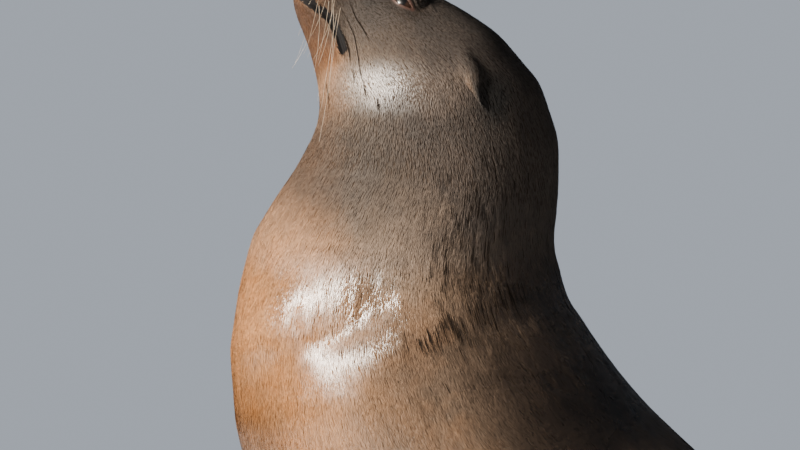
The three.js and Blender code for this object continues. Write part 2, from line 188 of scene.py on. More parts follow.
def scaled(tree, colour, share):
    return addNode(tree, "VectorMath", {0: colour, "Scale": share}, operation="SCALE").outputs[0]


def ranged(tree, value, low, high, least=0.0, most=1.0):
    return addNode(tree, "MapRange", {0: value, 1: low, 2: high, 3: least, 4: most}).outputs[0]


def reading(tree, name, output="Fac"):
    return addNode(tree, "Attribute", attribute_name=name).outputs[output]


def objectPlace(tree):
    return addNode(tree, "TexCoord").outputs["Object"]


def stretched(tree, place, scale):
    return addNode(tree, "Mapping", {"Vector": place, "Scale": scale}).outputs[0]


def noiseAt(tree, place, scale, detail=2.0):
    return addNode(tree, "TexNoise", {"Vector": place, "Scale": scale, "Detail": detail}).outputs["Fac"]


def speckled(tree, place, scale, detail, least=0.0, most=1.0):
    # noise spread out between two values
    return ranged(tree, noiseAt(tree, place, scale, detail), 0.3, 0.7, least, most)


def bumped(tree, height, distance, strength):
    return addNode(tree, "Bump", {"Height": height, "Distance": distance, "Strength": strength}).outputs[0]


def ramped(tree, value, stops):
    # colours at their places, from the lowest to the highest
    node = addNode(tree, "ValToRGB", {0: value})
    elements = node.color_ramp.elements
    ends, between = (stops[0], stops[-1]), stops[1:-1]
    for element, (position, colour) in zip(elements, ends):
        element.position, element.color = position, (*colour, 1)
    for position, colour in between:
        elements.new(position).color = (*colour, 1)
    return node.outputs["Color"]


def newPaint(name):
    paint = bpy.data.materials.new(name)
    paint.use_nodes = True
    return paint, paint.node_tree, paint.node_tree.nodes["Principled BSDF"]


# camera, light and floor

viewSet = {"distance": 6.0, "frameWidth": 0.768, "centre": (0.0, -0.4855, 0.581), "sensor": 36.0}

lightSet = {  # azimuth, elevation, distance, size, power, colour
    "key": (31, 25, 4.0, 0.8, 520, (1.0, 0.90, 0.78)),
    "fill": (85, 35, 5.0, 4.0, 14, (0.85, 0.92, 1.0)),
    "side": (280, 20, 5.0, 2.5, 210, (0.95, 0.97, 1.0)),
}
lightAim = Vector((0, -0.2, 0.4))
floorSet = {"radius": 60.0, "colour": (0.62, 0.63, 0.64), "roughness": 0.85, "fade": (2.4, 6.2)}
worldSet = {"light": (0.62, 0.70, 0.82), "strength": 0.13, "backdrop": (0.40, 0.44, 0.50)}


def addCamera():
    bpy.ops.object.camera_add(rotation=(math.radians(90), 0, math.radians(90)))
    camera = bpy.context.object
    camera.location = Vector(viewSet["centre"]) + Vector((viewSet["distance"], 0, 0))
    camera.data.sensor_width = viewSet["sensor"]
    camera.data.lens = viewSet["sensor"] * viewSet["distance"] / viewSet["frameWidth"]
    camera.data.clip_end = 60
    bpy.context.scene.camera = camera


def addLight(name, azimuth, elevation, distance, size, power, colour):
    turn = math.radians(azimuth)
    lift = math.radians(elevation)
    away = Vector((math.sin(turn) * math.cos(lift), -math.cos(turn) * math.cos(lift), math.sin(lift)))
    bpy.ops.object.light_add(type="AREA", location=lightAim + away * distance)
    light = bpy.context.object
    light.name = name
    light.rotation_euler = away.to_track_quat("Z", "Y").to_euler()
    light.data.shape = "DISK"
    light.data.size = size
    light.data.energy = power
    light.data.color = colour
    light.visible_glossy = name == "key"  # the others would show as discs in the eye


def floorPaint():
    paint, tree, shader = newPaint("floorPaint")
    setOn(shader, {"Base Color": (*floorSet["colour"], 1), "Roughness": floorSet["roughness"]})
    # far out the floor takes the backdrop's colour, so no horizon shows
    reach = addNode(tree, "VectorMath", {0: objectPlace(tree)}, operation="LENGTH").outputs["Value"]
    near, far = floorSet["fade"]
    share = addNode(tree, "MapRange", {0: reach, 1: near, 2: far}, interpolation_type="SMOOTHSTEP").outputs[0]
    seen = addNode(tree, "LightPath").outputs["Is Camera Ray"]
    distant = addNode(tree, "Emission", {"Color": (*worldSet["backdrop"], 1), "Strength": seen})
    faded = addNode(tree, "MixShader", {0: share, 1: shader.outputs[0], 2: distant.outputs[0]})
    setOn(tree.nodes["Material Output"], {"Surface": faded.outputs[0]})
    return paint


def addFloor():
    bpy.ops.mesh.primitive_circle_add(vertices=128, radius=floorSet["radius"], fill_type="NGON")
    floor = bpy.context.object
    floor.name = "floor"
    floor.data.materials.append(floorPaint())


def addWorld():
    world = bpy.data.worlds.new("studio")
    world.use_nodes = True
    tree = world.node_tree
    dim = tree.nodes["Background"]
    setOn(dim, {"Color": (*worldSet["light"], 1), "Strength": worldSet["strength"]})
    backdrop = addNode(tree, "Background", {"Color": (*worldSet["backdrop"], 1)})
    seen = addNode(tree, "LightPath").outputs["Is Camera Ray"]
    both = addNode(tree, "MixShader", {0: seen, 1: dim.outputs[0], 2: backdrop.outputs[0]})
    setOn(tree.nodes["World Output"], {"Surface": both.outputs[0]})
    bpy.context.scene.world = world


bpy.ops.object.select_all(action="DESELECT")
addCamera()
for lightName, setting in lightSet.items():
    addLight(lightName, *setting)
addFloor()
addWorld()
print("camera, lights and floor")

# mesh helpers


def selectOnly(piece):
    bpy.ops.object.select_all(action="DESELECT")
    piece.select_set(True)
    bpy.context.view_layer.objects.active = piece


def applied(piece, kind, **settings):
    selectOnly(piece)
    modifier = piece.modifiers.new(kind, kind)
    for key, value in settings.items():
        setattr(modifier, key, value)
    bpy.ops.object.modifier_apply(modifier=modifier.name)


def pieceOf(name, mesh):
    piece = bpy.data.objects.new(name, mesh)
    bpy.context.scene.collection.objects.link(piece)
    return piece


def pieceFrom(name, work):
    mesh = bpy.data.meshes.new(name)
    work.to_mesh(mesh)
    work.free()
    return pieceOf(name, mesh)


def shadeSmooth(piece):
    selectOnly(piece)
    bpy.ops.object.shade_smooth()


def wallBetween(work, loops):
    # quads from each ring of vertices to the next
    count = len(loops[0])
    for low, high in zip(loops[:-1], loops[1:]):
        for step in range(count):
            after = (step + 1) % count
            work.faces.new((low[step], low[after], high[after], high[step]))


def joinedCopy(name, nodes):
    work = bmesh.new()
    for node in nodes:
        work.from_mesh(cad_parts[node].data)
    bmesh.ops.remove_doubles(work, verts=work.verts, dist=1e-6)
    return pieceFrom(name, work)


def readOut(items, name, width, kind=float):
    values = np.zeros(len(items) * width, dtype=kind)
    items.foreach_get(name, values)
    return values.reshape(-1, width)


def placesOf(piece):
    return readOut(piece.data.vertices, "co", 3)


def normalsOf(piece):
    return readOut(piece.data.vertex_normals, "vector", 3)


def moveTo(piece, points):
    piece.data.vertices.foreach_set("co", points.ravel())
    piece.data.update()


def edgesOf(piece):
    return readOut(piece.data.edges, "vertices", 2, np.int64)


def neighbourMean(values, edges, counts):
    # the mean of each vertex's neighbours, one column at a time
    mean = np.empty_like(values)
    for column in range(values.shape[1]):
        taken = values[:, column]
        total = np.bincount(edges[:, 0], taken[edges[:, 1]], len(values))
        total += np.bincount(edges[:, 1], taken[edges[:, 0]], len(values))
        mean[:, column] = total / counts
    return mean


def smoothed(values, edges, strength, rounds):
    strength = np.broadcast_to(strength, len(values))[:, None]
    counts = np.maximum(np.bincount(edges.ravel(), minlength=len(values)), 1)
    for _ in range(rounds):
        values = values + strength * (neighbourMean(values, edges, counts) - values)
    return values


def subdivideWhere(piece, chosen):
    # edges between two chosen vertices are halved, and their faces cut with them
    work = bmesh.new()
    work.from_mesh(piece.data)
    work.verts.ensure_lookup_table()
    picked = [edge for edge in work.edges if chosen[edge.verts[0].index] and chosen[edge.verts[1].index]]
    bmesh.ops.subdivide_edges(work, edges=picked, cuts=1, use_grid_fill=True, smooth=0.0)
    bmesh.ops.triangulate(work, faces=[face for face in work.faces if len(face.verts) > 4])
    work.to_mesh(piece.data)
    work.free()


# skin

skinSet = {
    "flesh": [
        "head", "lower_jaw", "nose", "neck", "chest", "trunk", "hips", "tail",
        "forearm_left", "forearm_right", "fore_flipper_left", "fore_flipper_right",
        "hind_flipper_left", "hind_flipper_right",
    ],
    "filledBy": ["eye_left", "eye_right"],  # the sockets are closed before the lids are cut
    "closeGaps": 0.0005,
    "voxel": 0.0036,
    "ease": 0.6,
    "rounds": 45,
    "keepShare": 0.30,
}


def rawSkin():
    skin = joinedCopy("skin", skinSet["flesh"] + skinSet["filledBy"])
    selectOnly(skin)
    bpy.ops.object.mode_set(mode="EDIT")
    bpy.ops.mesh.select_all(action="SELECT")
    bpy.ops.transform.shrink_fatten(value=skinSet["closeGaps"])
    bpy.ops.object.mode_set(mode="OBJECT")
    applied(skin, "REMESH", mode="VOXEL", voxel_size=skinSet["voxel"])
    return skin


def roundedSkin(skin):
    # the solids' flat facets are worn away, most on the trunk and least on the flippers
    points = placesOf(skin)
    where = bodyCoords(points)
    strength = np.full(len(points), skinSet["ease"])
    strength *= 1 - 0.85 * smoothStep(0.12, 0.04, where["along"])
    strength *= 1 - 0.92 * where["limb"]
    strength *= 1 - 0.6 * smoothStep(0.9, 0.95, where["along"])
    edges = edgesOf(skin)
    rounded = smoothed(points, edges, strength, skinSet["rounds"])
    # and the girth that this costs is given back
    rounded += smoothed(points - rounded, edges, skinSet["ease"], skinSet["rounds"])
    onFloor = points[:, 2] < 0.0015
    rounded[onFloor, 2] = np.maximum(rounded[onFloor, 2], points[onFloor, 2])
    moveTo(skin, rounded)


def thinnedSkin(skin):
    # the body keeps fewer faces than the face
    calm = smoothStep(0.13, 0.2, bodyCoords(placesOf(skin))["along"])
    plain = skin.vertex_groups.new(name="plain")
    for level in range(11):
        chosen = np.nonzero(np.round(calm * 10) == level)[0]
        plain.add(chosen.tolist(), level / 10, "REPLACE")
    applied(
        skin, "DECIMATE", decimate_type="COLLAPSE", ratio=skinSet["keepShare"],
        vertex_group="plain", vertex_group_factor=1.0,
    )


skin = rawSkin()
print("raw skin", len(skin.data.vertices), "vertices")
roundedSkin(skin)
print("rounded skin")
thinnedSkin(skin)
print("thinned skin", len(skin.data.vertices), "vertices", len(skin.data.polygons), "faces")

# head

eyeSet = {
    "along": (-0.434, -0.581, 0.467),  # the slit runs this way, towards the nose
    "outward": (0.86, -0.32, 0.4),
    "lid": 0.0019,
    "halfLength": 0.0138,
    "upperOpen": 0.0046,
    "lowerOpen": 0.0034,
    "bow": -0.0008,
    "foldUp": (0.0042, 0.0088),
    "foldDown": (0.0040,),
    "snap": 0.0005,
    "reach": 0.027,
    "soft": 0.0035,  # how gently the lids run out into the face
    "rim": 0.0005,
    "crease": 0.0010,
    "between": 0.0006,  # the swelling between two creases, and the depth of those under the eye
    "tearDuct": 0.0014,
    "behind": 0.0016,  # the skin inside the slit lies this far behind the eyeball's face
}

mouthLine = [
    (-0.004, -0.002), (0.0, 0.0), (0.016, 0.007), (0.030, 0.0108), (0.038, 0.0115), (0.056, 0.0075),
    (0.068, 0.0052), (0.078, 0.0055), (0.092, 0.008),
]
mouthSet = {
    "depth": 0.0030,
    "width": 0.0016,
    "lips": ((0.0016, 0.0042, 0.0026), (0.0008, -0.0040, 0.0022)),  # height, place over the slit, width
}

noseSet = {
    "middle": (0.0, 0.0395),  # side and up, in the head's frame
    "half": (0.0170, 0.0125),
    "nostril": ((0.0048, 0.0345), (0.0105, 0.0415), (0.0135, 0.0475)),
    "nostrilWidth": 0.0019,
    "nostrilDepth": 0.0052,
    "pad": 0.0010,
    "wing": 0.0012,
    "furrow": 0.0014,
}

padSet = {
    "rows": 5, "columns": 6, "front": 0.0735, "top": 0.037,
    "stepBack": (0.0068, 0.0022),  # from one column to the next, and from one row to the next
    "stepDown": (0.0006, 0.0056),
    "height": 0.0006, "width": 0.0015,
}


def eyeFrame(side):
    low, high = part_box("eye_left" if side > 0 else "eye_right")
    centre = (np.array(low) + np.array(high)) / 2
    turn = np.array([side, 1.0, 1.0])
    outward = np.array(eyeSet["outward"]) * turn
    outward /= np.linalg.norm(outward)
    along = np.array(eyeSet["along"]) * turn
    along -= outward * (along @ outward)
    along /= np.linalg.norm(along)
    up = np.cross(outward, along) * side
    if up[2] < 0:
        up = -up
    return centre, along, up, outward, (high[0] - low[0]) / 2


def slitEdges(along):
    share = np.clip(1 - (along / eyeSet["halfLength"]) ** 2, 0, 1)
    bow = eyeSet["bow"] * share
    return bow + eyeSet["upperOpen"] * share ** 0.75, bow - eyeSet["lowerOpen"] * share ** 0.85


def nearestOnPath(first, second, path):
    # signed distance to a drawn line, and how far along the line its nearest spot lies
    best = np.full(len(first), 1e9)
    signed, share = np.zeros(len(first)), np.zeros(len(first))
    length = sum(math.dist(low, high) for low, high in zip(path[:-1], path[1:]))
    run = 0
    for (a0, a1), (b0, b1) in zip(path[:-1], path[1:]):
        d0, d1 = b0 - a0, b1 - a1
        t = np.clip(((first - a0) * d0 + (second - a1) * d1) / (d0 * d0 + d1 * d1), 0, 1)
        gap = np.hypot(first - a0 - t * d0, second - a1 - t * d1)
        above = (second - a1) * d0 - (first - a0) * d1
        closer = gap < best
        best[closer] = gap[closer]
        signed[closer] = (np.sign(above) * gap)[closer]
        share[closer] = ((run + t * math.hypot(d0, d1)) / length)[closer]
        run += math.hypot(d0, d1)
    return signed, share


def mouthGap(forward, up):
    # below the line of the closed lips it is negative
    return nearestOnPath(forward, up, mouthLine)[0]


def refineHead(skin):
    # the head's faces are cut in four, and once more round the eyes, the mouth and the nose
    points = placesOf(skin)
    forward, up, _ = headCoords(points)
    subdivideWhere(skin, (forward > -0.075) & (up > -0.07) & (points[:, 2] > 0.66))
    points = placesOf(skin)
    forward, up, _ = headCoords(points)
    chosen = np.zeros(len(points), dtype=bool)
    for sign in (1, -1):
        centre, _, _, outward, radius = eyeFrame(sign)
        chosen |= np.linalg.norm(points - centre - outward * radius * 0.8, axis=1) < 0.021
    onSide = (np.abs(mouthGap(forward, up)) < 0.0075) & (forward > -0.012)
    onNose = (forward > 0.073) & (up > 0.02) & (up < 0.056)
    subdivideWhere(skin, chosen | onSide | onNose)


def evened(skin):
    # the new vertices are eased onto the round of the old ones
    points = placesOf(skin)
    forward, up, _ = headCoords(points)
    inHead = (forward > -0.08) & (up > -0.075) & (points[:, 2] > 0.65)
    moveTo(skin, smoothed(points, edgesOf(skin), 0.5 * inHead, 6))


def shapeEyes(points):
    # lids with creases over the eyeball, a rim round the slit, and the tear duct at its front
    for sign in (1, -1):
        centre, alongWay, upWay, outWay, radius = eyeFrame(sign)
        offset = points - centre
        along, up, out = offset @ alongWay, offset @ upWay, offset @ outWay
        near = (np.hypot(along, up) < eyeSet["reach"]) & (out > 0)
        upper, lower = slitEdges(along)
        dome = np.sqrt(np.maximum((radius + eyeSet["lid"]) ** 2 - (along ** 2 + up ** 2), 0))
        soft = eyeSet["soft"]
        blend = np.clip(0.5 + 0.5 * (dome - out) / soft, 0, 1)
        lidded = out * (1 - blend) + dome * blend + soft * blend * (1 - blend)
        withinSlit = np.abs(along) < eyeSet["halfLength"]
        for edge in (upper, lower):
            close = near & withinSlit & (np.abs(up - edge) < eyeSet["snap"])
            up = np.where(close, edge, up)
        gap = np.maximum(up - upper, lower - up)
        reach = bell(along, eyeSet["halfLength"] * 1.25)
        lidded += eyeSet["rim"] * bell(gap - 0.0008, 0.0008) * (gap > -1e-6) * withinSlit
        for fold in eyeSet["foldUp"]:
            lidded -= eyeSet["crease"] * bell(up - upper - fold, 0.0009) * reach
            lidded += eyeSet["between"] * bell(up - upper - fold + 0.0020, 0.0014) * reach
        for fold in eyeSet["foldDown"]:
            lidded -= eyeSet["between"] * bell(lower - up - fold, 0.0010) * reach
        atFront = smoothStep(0.012, 0.015, along) * smoothStep(0.022, 0.016, along)
        lidded -= eyeSet["tearDuct"] * (bell(up + 0.0006, 0.0011) * atFront)
        inside = near & withinSlit & (gap < -1e-5)
        hidden = np.sqrt(np.maximum((radius - eyeSet["behind"]) ** 2 - along ** 2 - up ** 2, 0))
        lidded = np.where(inside, hidden, lidded)
        moved = centre + along[:, None] * alongWay + up[:, None] * upWay + lidded[:, None] * outWay
        points = np.where(near[:, None], moved, points)
    return points


def shapeMouth(points, normals):
    forward, up, _ = headCoords(points)
    gap = mouthGap(forward, up)
    lift = -mouthSet["depth"] * bell(gap, mouthSet["width"])
    for height, middle, width in mouthSet["lips"]:
        lift += height * bell(gap - middle, width)
    present = smoothStep(-0.005, 0.002, forward) * (up < 0.03) * (up > -0.02)
    return points + normals * (lift * present)[:, None]


def noseReach(up, side):
    # 0 in the middle of the nose pad, 1 on its edge
    (middleSide, middleUp), (halfWidth, halfHeight) = noseSet["middle"], noseSet["half"]
    return np.hypot((side - middleSide) / halfWidth, (up - middleUp) / halfHeight)


def shapeNose(points):
    # the pad stands out, with its two slanting nostrils and the furrow down to the lip
    forward, up, side = headCoords(points)
    push = noseSet["pad"] * smoothStep(1.08, 0.94, noseReach(up, side))
    slit = np.abs(nearestOnPath(np.abs(side), up, noseSet["nostril"])[0])
    push -= noseSet["nostrilDepth"] * bell(slit, noseSet["nostrilWidth"])
    push += noseSet["wing"] * bell(slit - 0.0042, 0.0020) * (np.abs(side) > 0.008)
    underPad = smoothStep(0.050, 0.044, up) * smoothStep(0.008, 0.014, up)
    push -= noseSet["furrow"] * bell(side, 0.0010) * underPad
    return points + headForward * (push * smoothStep(0.070, 0.078, forward))[:, None]


def whiskerRoots():
    # rows of follicles on each pad: forward, up, row, column
    roots = []
    for row in range(padSet["rows"]):
        for column in range(padSet["columns"] - abs(row - 2) // 2):
            forward = padSet["front"] - column * padSet["stepBack"][0] - row * padSet["stepBack"][1]
            up = padSet["top"] - row * padSet["stepDown"][1] - column * padSet["stepDown"][0]
            roots.append((forward, up, row, column))
    return roots


def shapePads(points, normals):
    # a small mound under every follicle
    forward, up, side = headCoords(points)
    lift = np.zeros(len(points))
    for rootForward, rootUp, _, _ in whiskerRoots():
        lift += padSet["height"] * bell(np.hypot(forward - rootForward, up - rootUp), padSet["width"])
    onSide = smoothStep(0.010, 0.018, np.abs(side))
    return points + normals * (lift * onSide)[:, None]


earSet = {
    "length": 0.046,
    "width": 0.0082,
    "thick": 0.0030,
    "channel": 0.0030,
    "sunk": 0.006,
    "mound": (0.0042, 0.0085, 0.016),  # lift of the skin at the root, its width and its length
    "rings": 18,
    "around": 18,
    "root": 0.80,  # brightness at the root, towards the tip, and the painted highlight gained along the rear edge
    "dark": 0.30,
    "rim": 1.6,
}


def earFrame(sign):
    # root on the head, the way the ear points, and outwards
    low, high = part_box("ear_left" if sign > 0 else "ear_right")
    root = np.array([sign * min(abs(low[0]), abs(high[0])), low[1] + 0.002, high[2] - 0.003])
    tip = np.array([sign * (max(abs(low[0]), abs(high[0])) - 0.002), high[1] - 0.002, low[2]])
    way = (tip - root) / np.linalg.norm(tip - root)
    outward = np.array([sign * 0.9, -0.1, 0.25])
    outward -= way * (outward @ way)
    return root, way, outward / np.linalg.norm(outward)


def earCoords(points):
    # share of the ear's length, and which way across it: 1 its rear edge
    share, across = np.zeros(len(points)), np.zeros(len(points))
    for sign in (1, -1):
        root, way, outward = earFrame(sign)
        mine = points[:, 0] * sign > 0
        offset = points[mine] - root
        sideways = np.cross(way, outward)
        sideways *= np.sign(sideways[1])
        share[mine] = offset @ way / earSet["length"]
        across[mine] = offset @ sideways / earSet["width"]
    return share, across


def shapeEarRoots(points, normals):
    # the gristle at the ear's root lifts the skin in front of and above it
    lift = np.zeros(len(points))
    height, width, length = earSet["mound"]
    for sign in (1, -1):
        root, way, _ = earFrame(sign)
        offset = points - root - way * 0.004
        down = offset @ way
        rest = np.linalg.norm(offset - down[:, None] * way, axis=1)
        lift += height * bell(rest, width) * bell(down, length)
    return points + normals * lift[:, None]


# folds and swellings of the body seen from the side: path as (y, z), height, width
reliefSet = {
    "shoulderFold": ([(-0.335, 0.526), (-0.380, 0.492), (-0.447, 0.458), (-0.495, 0.447)], -0.0016, 0.010),
    "shoulderSwell": ([(-0.345, 0.490), (-0.400, 0.456), (-0.452, 0.424)], 0.0006, 0.020),
    "breastRoll": (
        [
            (-0.720, 0.458), (-0.640, 0.476), (-0.612, 0.489), (-0.588, 0.507), (-0.560, 0.528),
            (-0.528, 0.538), (-0.466, 0.540),
        ],
        0.0058, 0.024,
    ),
    "underRoll": (
        [
            (-0.588, 0.458), (-0.565, 0.472), (-0.547, 0.484), (-0.531, 0.494), (-0.513, 0.508),
            (-0.474, 0.532),
        ],
        -0.0058, 0.014,
    ),
    "hollowRim": (
        [
            (-0.556, 0.472), (-0.541, 0.461), (-0.525, 0.457), (-0.508, 0.458), (-0.490, 0.464),
            (-0.470, 0.475), (-0.440, 0.497), (-0.375, 0.524),
        ],
        0.0050, 0.014,
    ),
    "underBreast": (
        [(-0.780, 0.450), (-0.700, 0.450), (-0.640, 0.450), (-0.600, 0.446), (-0.570, 0.430)],
        -0.0036, 0.030,
    ),
    "lowBreast": ([(-0.780, 0.405), (-0.700, 0.405), (-0.620, 0.400), (-0.500, 0.390)], -0.0040, 0.060),
    "jowl": (
        [(-0.570, 0.672), (-0.536, 0.674), (-0.490, 0.678), (-0.450, 0.690), (-0.420, 0.702)],
        0.0006, 0.014,
    ),
    "elbowFold": ([(-0.330, 0.250), (-0.350, 0.205), (-0.345, 0.165)], -0.0030, 0.012),
    "flankFold": ([(0.300, 0.120), (0.330, 0.070), (0.345, 0.020)], -0.0026, 0.011),
    "thighSwell": ([(0.380, 0.060), (0.450, 0.050)], 0.0050, 0.030),
}


def shapeRelief(points, normals):
    lift = np.zeros(len(points))
    for path, height, width in reliefSet.values():
        gap, share = nearestOnPath(points[:, 1], points[:, 2], path)
        lift += height * bell(gap, width) * smoothStep(0, 0.3, share) * smoothStep(1, 0.7, share)
    lift = smoothed(lift[:, None], edgesOf(skin), 0.5, 3)[:, 0]
    onFlank = smoothStep(0.03, 0.09, np.abs(points[:, 0]))
    return points + normals * (lift * onFlank)[:, None]


wrinkleSet = {
    "height": 0.0011,
    "width": 0.0045,
    "length": 0.055,
    "wander": ((0.004, 0.021), (0.003, 0.009)),  # how far to the side, and over what length
}


def shapeWrinkles(points, normals, where):
    # shallow creases down the sides and back of the neck, where the thrown-back head gathers the skin
    height = points[:, 2]
    onNeck = smoothStep(0.12, 0.17, where["along"]) * smoothStep(0.34, 0.29, where["along"])
    toBack = smoothStep(-0.15, 0.35, where["dorsal"])
    around = np.arctan2(where["dorsal"], np.abs(points[:, 0]) / 0.13) * 0.14
    (far, long), (near, short) = wrinkleSet["wander"]
    wander = far * np.sin(height / long + around * 60) + near * np.sin(height / short + 2)
    phase = 2 * np.pi * (around + wander) / wrinkleSet["width"] / 2.4
    broken = 0.5 + 0.5 * np.sin(height / wrinkleSet["length"] * 6.28 + 3.0 * np.sin(around / 0.011))
    crease = -np.maximum(np.sin(phase), 0) ** 3
    return points + normals * (wrinkleSet["height"] * crease * broken * onNeck * toBack)[:, None]


flipperSet = {
    "foreDigits": (0.78, 0.42, 0.06, -0.30, -0.64),
    "hindDigits": (0.82, 0.42, 0.0, -0.42, -0.82),
    "height": 0.0032,
}


def acrossLimb(points, line):
    # how far a point stands to the limb's leading edge, as a share of the limb's half width
    share, offset, direction, sizes = alongLine(onLeft(points), line)
    flat = np.stack([direction[:, 1], -direction[:, 0], np.zeros(len(points))], axis=1)
    flat /= np.maximum(np.linalg.norm(flat, axis=1), 1e-6)[:, None]
    return share, np.sum(offset * flat, axis=1) / np.maximum(sizes[:, 0], 0.02)


def shapeFlippers(points, normals, where):
    # the digits show through the leather as low ridges that fan out
    lift = np.zeros(len(points))
    share, across = acrossLimb(points, foreSet)
    onHand = smoothStep(0.52, 0.62, share) * where["limb"] * where["isFore"]
    for digit in flipperSet["foreDigits"]:
        spread = digit * (0.55 + 0.45 * smoothStep(0.5, 0.85, share))
        lift += flipperSet["height"] * bell(across - spread, 0.13) * onHand * smoothStep(1.0, 0.86, share)
    share, across = acrossLimb(points, hindSet)
    onFoot = smoothStep(0.30, 0.5, share) * where["limb"] * ~where["isFore"]
    for digit in flipperSet["hindDigits"]:
        spread = digit * (0.75 + 0.25 * share)
        lift += flipperSet["height"] * bell(across - spread, 0.12) * onFoot * smoothStep(1.02, 0.8, share)
    upside = smoothStep(0.0, 0.5, normals[:, 2])
    return points + normals * (lift * upside)[:, None]


depthSet = {"body": 0.0013, "face": 0.0007, "bare": 0.0004, "floorFree": 0.012}  # room for the coat


def bareShare(where):
    # the hands from the wrist on and the feet's webs carry no fur
    onHand = smoothStep(0.56, 0.70, where["foreAlong"]) * where["isFore"]
    onFoot = smoothStep(0.38, 0.56, where["hindAlong"]) * ~where["isFore"]
    return where["limb"] * (onHand + onFoot)


def makeRoomForCoat(skin, where):
    # the skin sinks by the coat's depth, and keeps its place on soles and belly flats
    points = placesOf(skin)
    depth = depthSet["face"] + (depthSet["body"] - depthSet["face"]) * smoothStep(0.07, 0.17, where["along"])
    bare = bareShare(where)
    depth = depth * (1 - bare) + depthSet["bare"] * bare
    depth *= smoothStep(0.0, depthSet["floorFree"], points[:, 2])
    moveTo(skin, points - normalsOf(skin) * depth[:, None])


refineHead(skin)
evened(skin)
onWebs = (bareShare(bodyCoords(placesOf(skin))) > 0.4) & (normalsOf(skin)[:, 2] > 0.5)
subdivideWhere(skin, onWebs)  # room for the digits
where = bodyCoords(placesOf(skin))
makeRoomForCoat(skin, where)
points = shapeRelief(placesOf(skin), normalsOf(skin))
points = shapeWrinkles(points, normalsOf(skin), where)
points = shapeFlippers(points, normalsOf(skin), where)
points = shapeEarRoots(points, normalsOf(skin))
points[:, 2] = np.maximum(points[:, 2], 0.0)
moveTo(skin, points)
points = shapeMouth(points, normalsOf(skin))
points = shapeNose(points)
points = shapePads(points, normalsOf(skin))
moveTo(skin, points)
moveTo(skin, shapeEyes(placesOf(skin)))
print("skin shaped", len(skin.data.vertices), "vertices")


def addEar(sign):
    # a leaf of gristle rolled into a point, hollow along its hinder side
    root, way, outward = earFrame(sign)
    sideways = np.cross(way, outward) * sign
    work = bmesh.new()
    rings = []
    for ring in range(earSet["rings"] + 1):
        share = ring / earSet["rings"]
        swell = (0.55 + 0.75 * math.sin(math.pi * min(1, share * 1.25 + 0.12))) * (1 - share ** 3) + 0.06
        centre = root + way * (share * (earSet["length"] + earSet["sunk"]) - earSet["sunk"])
        centre = centre + outward * (0.0035 * math.sin(math.pi * share * 0.8) + 0.001)
        loop = []
        for step in range(earSet["around"]):
            turn = 2 * math.pi * step / earSet["around"]
            across = math.cos(turn) * earSet["width"] * swell
            thick = math.sin(turn) * earSet["thick"] * (0.5 + 0.5 * swell)
            hollow = math.exp(-((math.cos(turn) + 0.35) / 0.42) ** 2) * (math.sin(turn) < 0)
            thick += hollow * earSet["channel"] * swell * min(1, share * 4) * (1 - share ** 2)
            thick -= 0.0016 * (across / earSet["width"]) ** 2
            loop.append(work.verts.new(centre + sideways * across + outward * thick))
        rings.append(loop)
    wallBetween(work, rings)
    work.faces.new(rings[0])
    work.faces.new(rings[-1])
    bmesh.ops.recalc_face_normals(work, faces=work.faces)
    ear = pieceFrom("ear", work)
    applied(ear, "SUBSURF", levels=1, render_levels=1)
    return ear


bareVertices = len(skin.data.vertices)  # the ears' own come after these
ears = [addEar(1), addEar(-1)]
selectOnly(skin)
for ear in ears:
    ear.select_set(True)
bpy.ops.object.join()
shadeSmooth(skin)
print("ears joined")

# places, tints and lie of the coat

tintSet = {  # 0 the dark back, 1 amber; the rest is added to the side's
    "side": 0.40,
    "belly": 0.27,
    "back": -0.26,
    "jaw": 0.20,
    "throat": 0.10,
    "breast": 0.16,
    "pad": 0.22,
    "ear": 0.22,
    "earHair": 0.40,
    "limb": -0.20,
    "saddle": ((-0.470, 0.640), (0.120, 0.120), -0.20),  # middle and radii seen from the side as (y, z)
    "face": -0.20,
}

jawSet = {"darker": 0.60, "redder": 0.15, "corner": 0.30}

shadeSet = {  # darker or lighter patches: middle, radii, share; some are the coat's own tone, others painted light and shade
    "throat": ((-0.545, 0.642), (0.100, 0.088), -0.70),
    "face": ((-0.530, 0.790), (0.110, 0.070), -0.60),
    # painted highlight: the cheek is lightened where its sheen falls
    "cheek": ((-0.495, 0.716), (0.040, 0.028), 0.25),
    # painted light: the cheek's highlight carried on towards the ear
    "belowEarLight": ((-0.452, 0.710), (0.044, 0.034), 1.10),
    # painted light: the nape is lightened so the neck's shaded side begins further back
    "nape": ((-0.433, 0.614), (0.035, 0.075), 0.60),
    # painted light: the lower neck is lightened so its shaded side begins further back
    "lowNeckLight": ((-0.476, 0.552), (0.050, 0.060), 0.70),
    # painted shadow under the shoulder's fold
    "fold": ((-0.400, 0.458), (0.060, 0.044), -0.42),
    # painted shade on the shoulder, where the body turns away from the light
    "shoulder": ((-0.335, 0.385), (0.115, 0.115), -0.70),
    # lighter along the breast's front edge: partly its paler colour, partly painted light
    "breastEdgeToneAndLight": ((-0.640, 0.500), (0.050, 0.060), 0.45),
    "lowBreast": ((-0.632, 0.370), (0.070, 0.080), -0.46),
    # painted shadow cast by the ear onto the neck
    "earShadow": ((-0.396, 0.704), (0.024, 0.036), -0.85),
}

drySet = {  # 0 wet and glossy
    "neck": 0.90,
    "face": 0.92,
    "trunk": 0.60,
    "limb": 0.85,
    "ear": 0.70,
    "cheek": ((-0.498, 0.714), (0.066, 0.030), 0.88),  # middle, radii, share wet
}


def normalised(vectors):
    return vectors / np.maximum(np.linalg.norm(vectors, axis=1), 1e-9)[:, None]


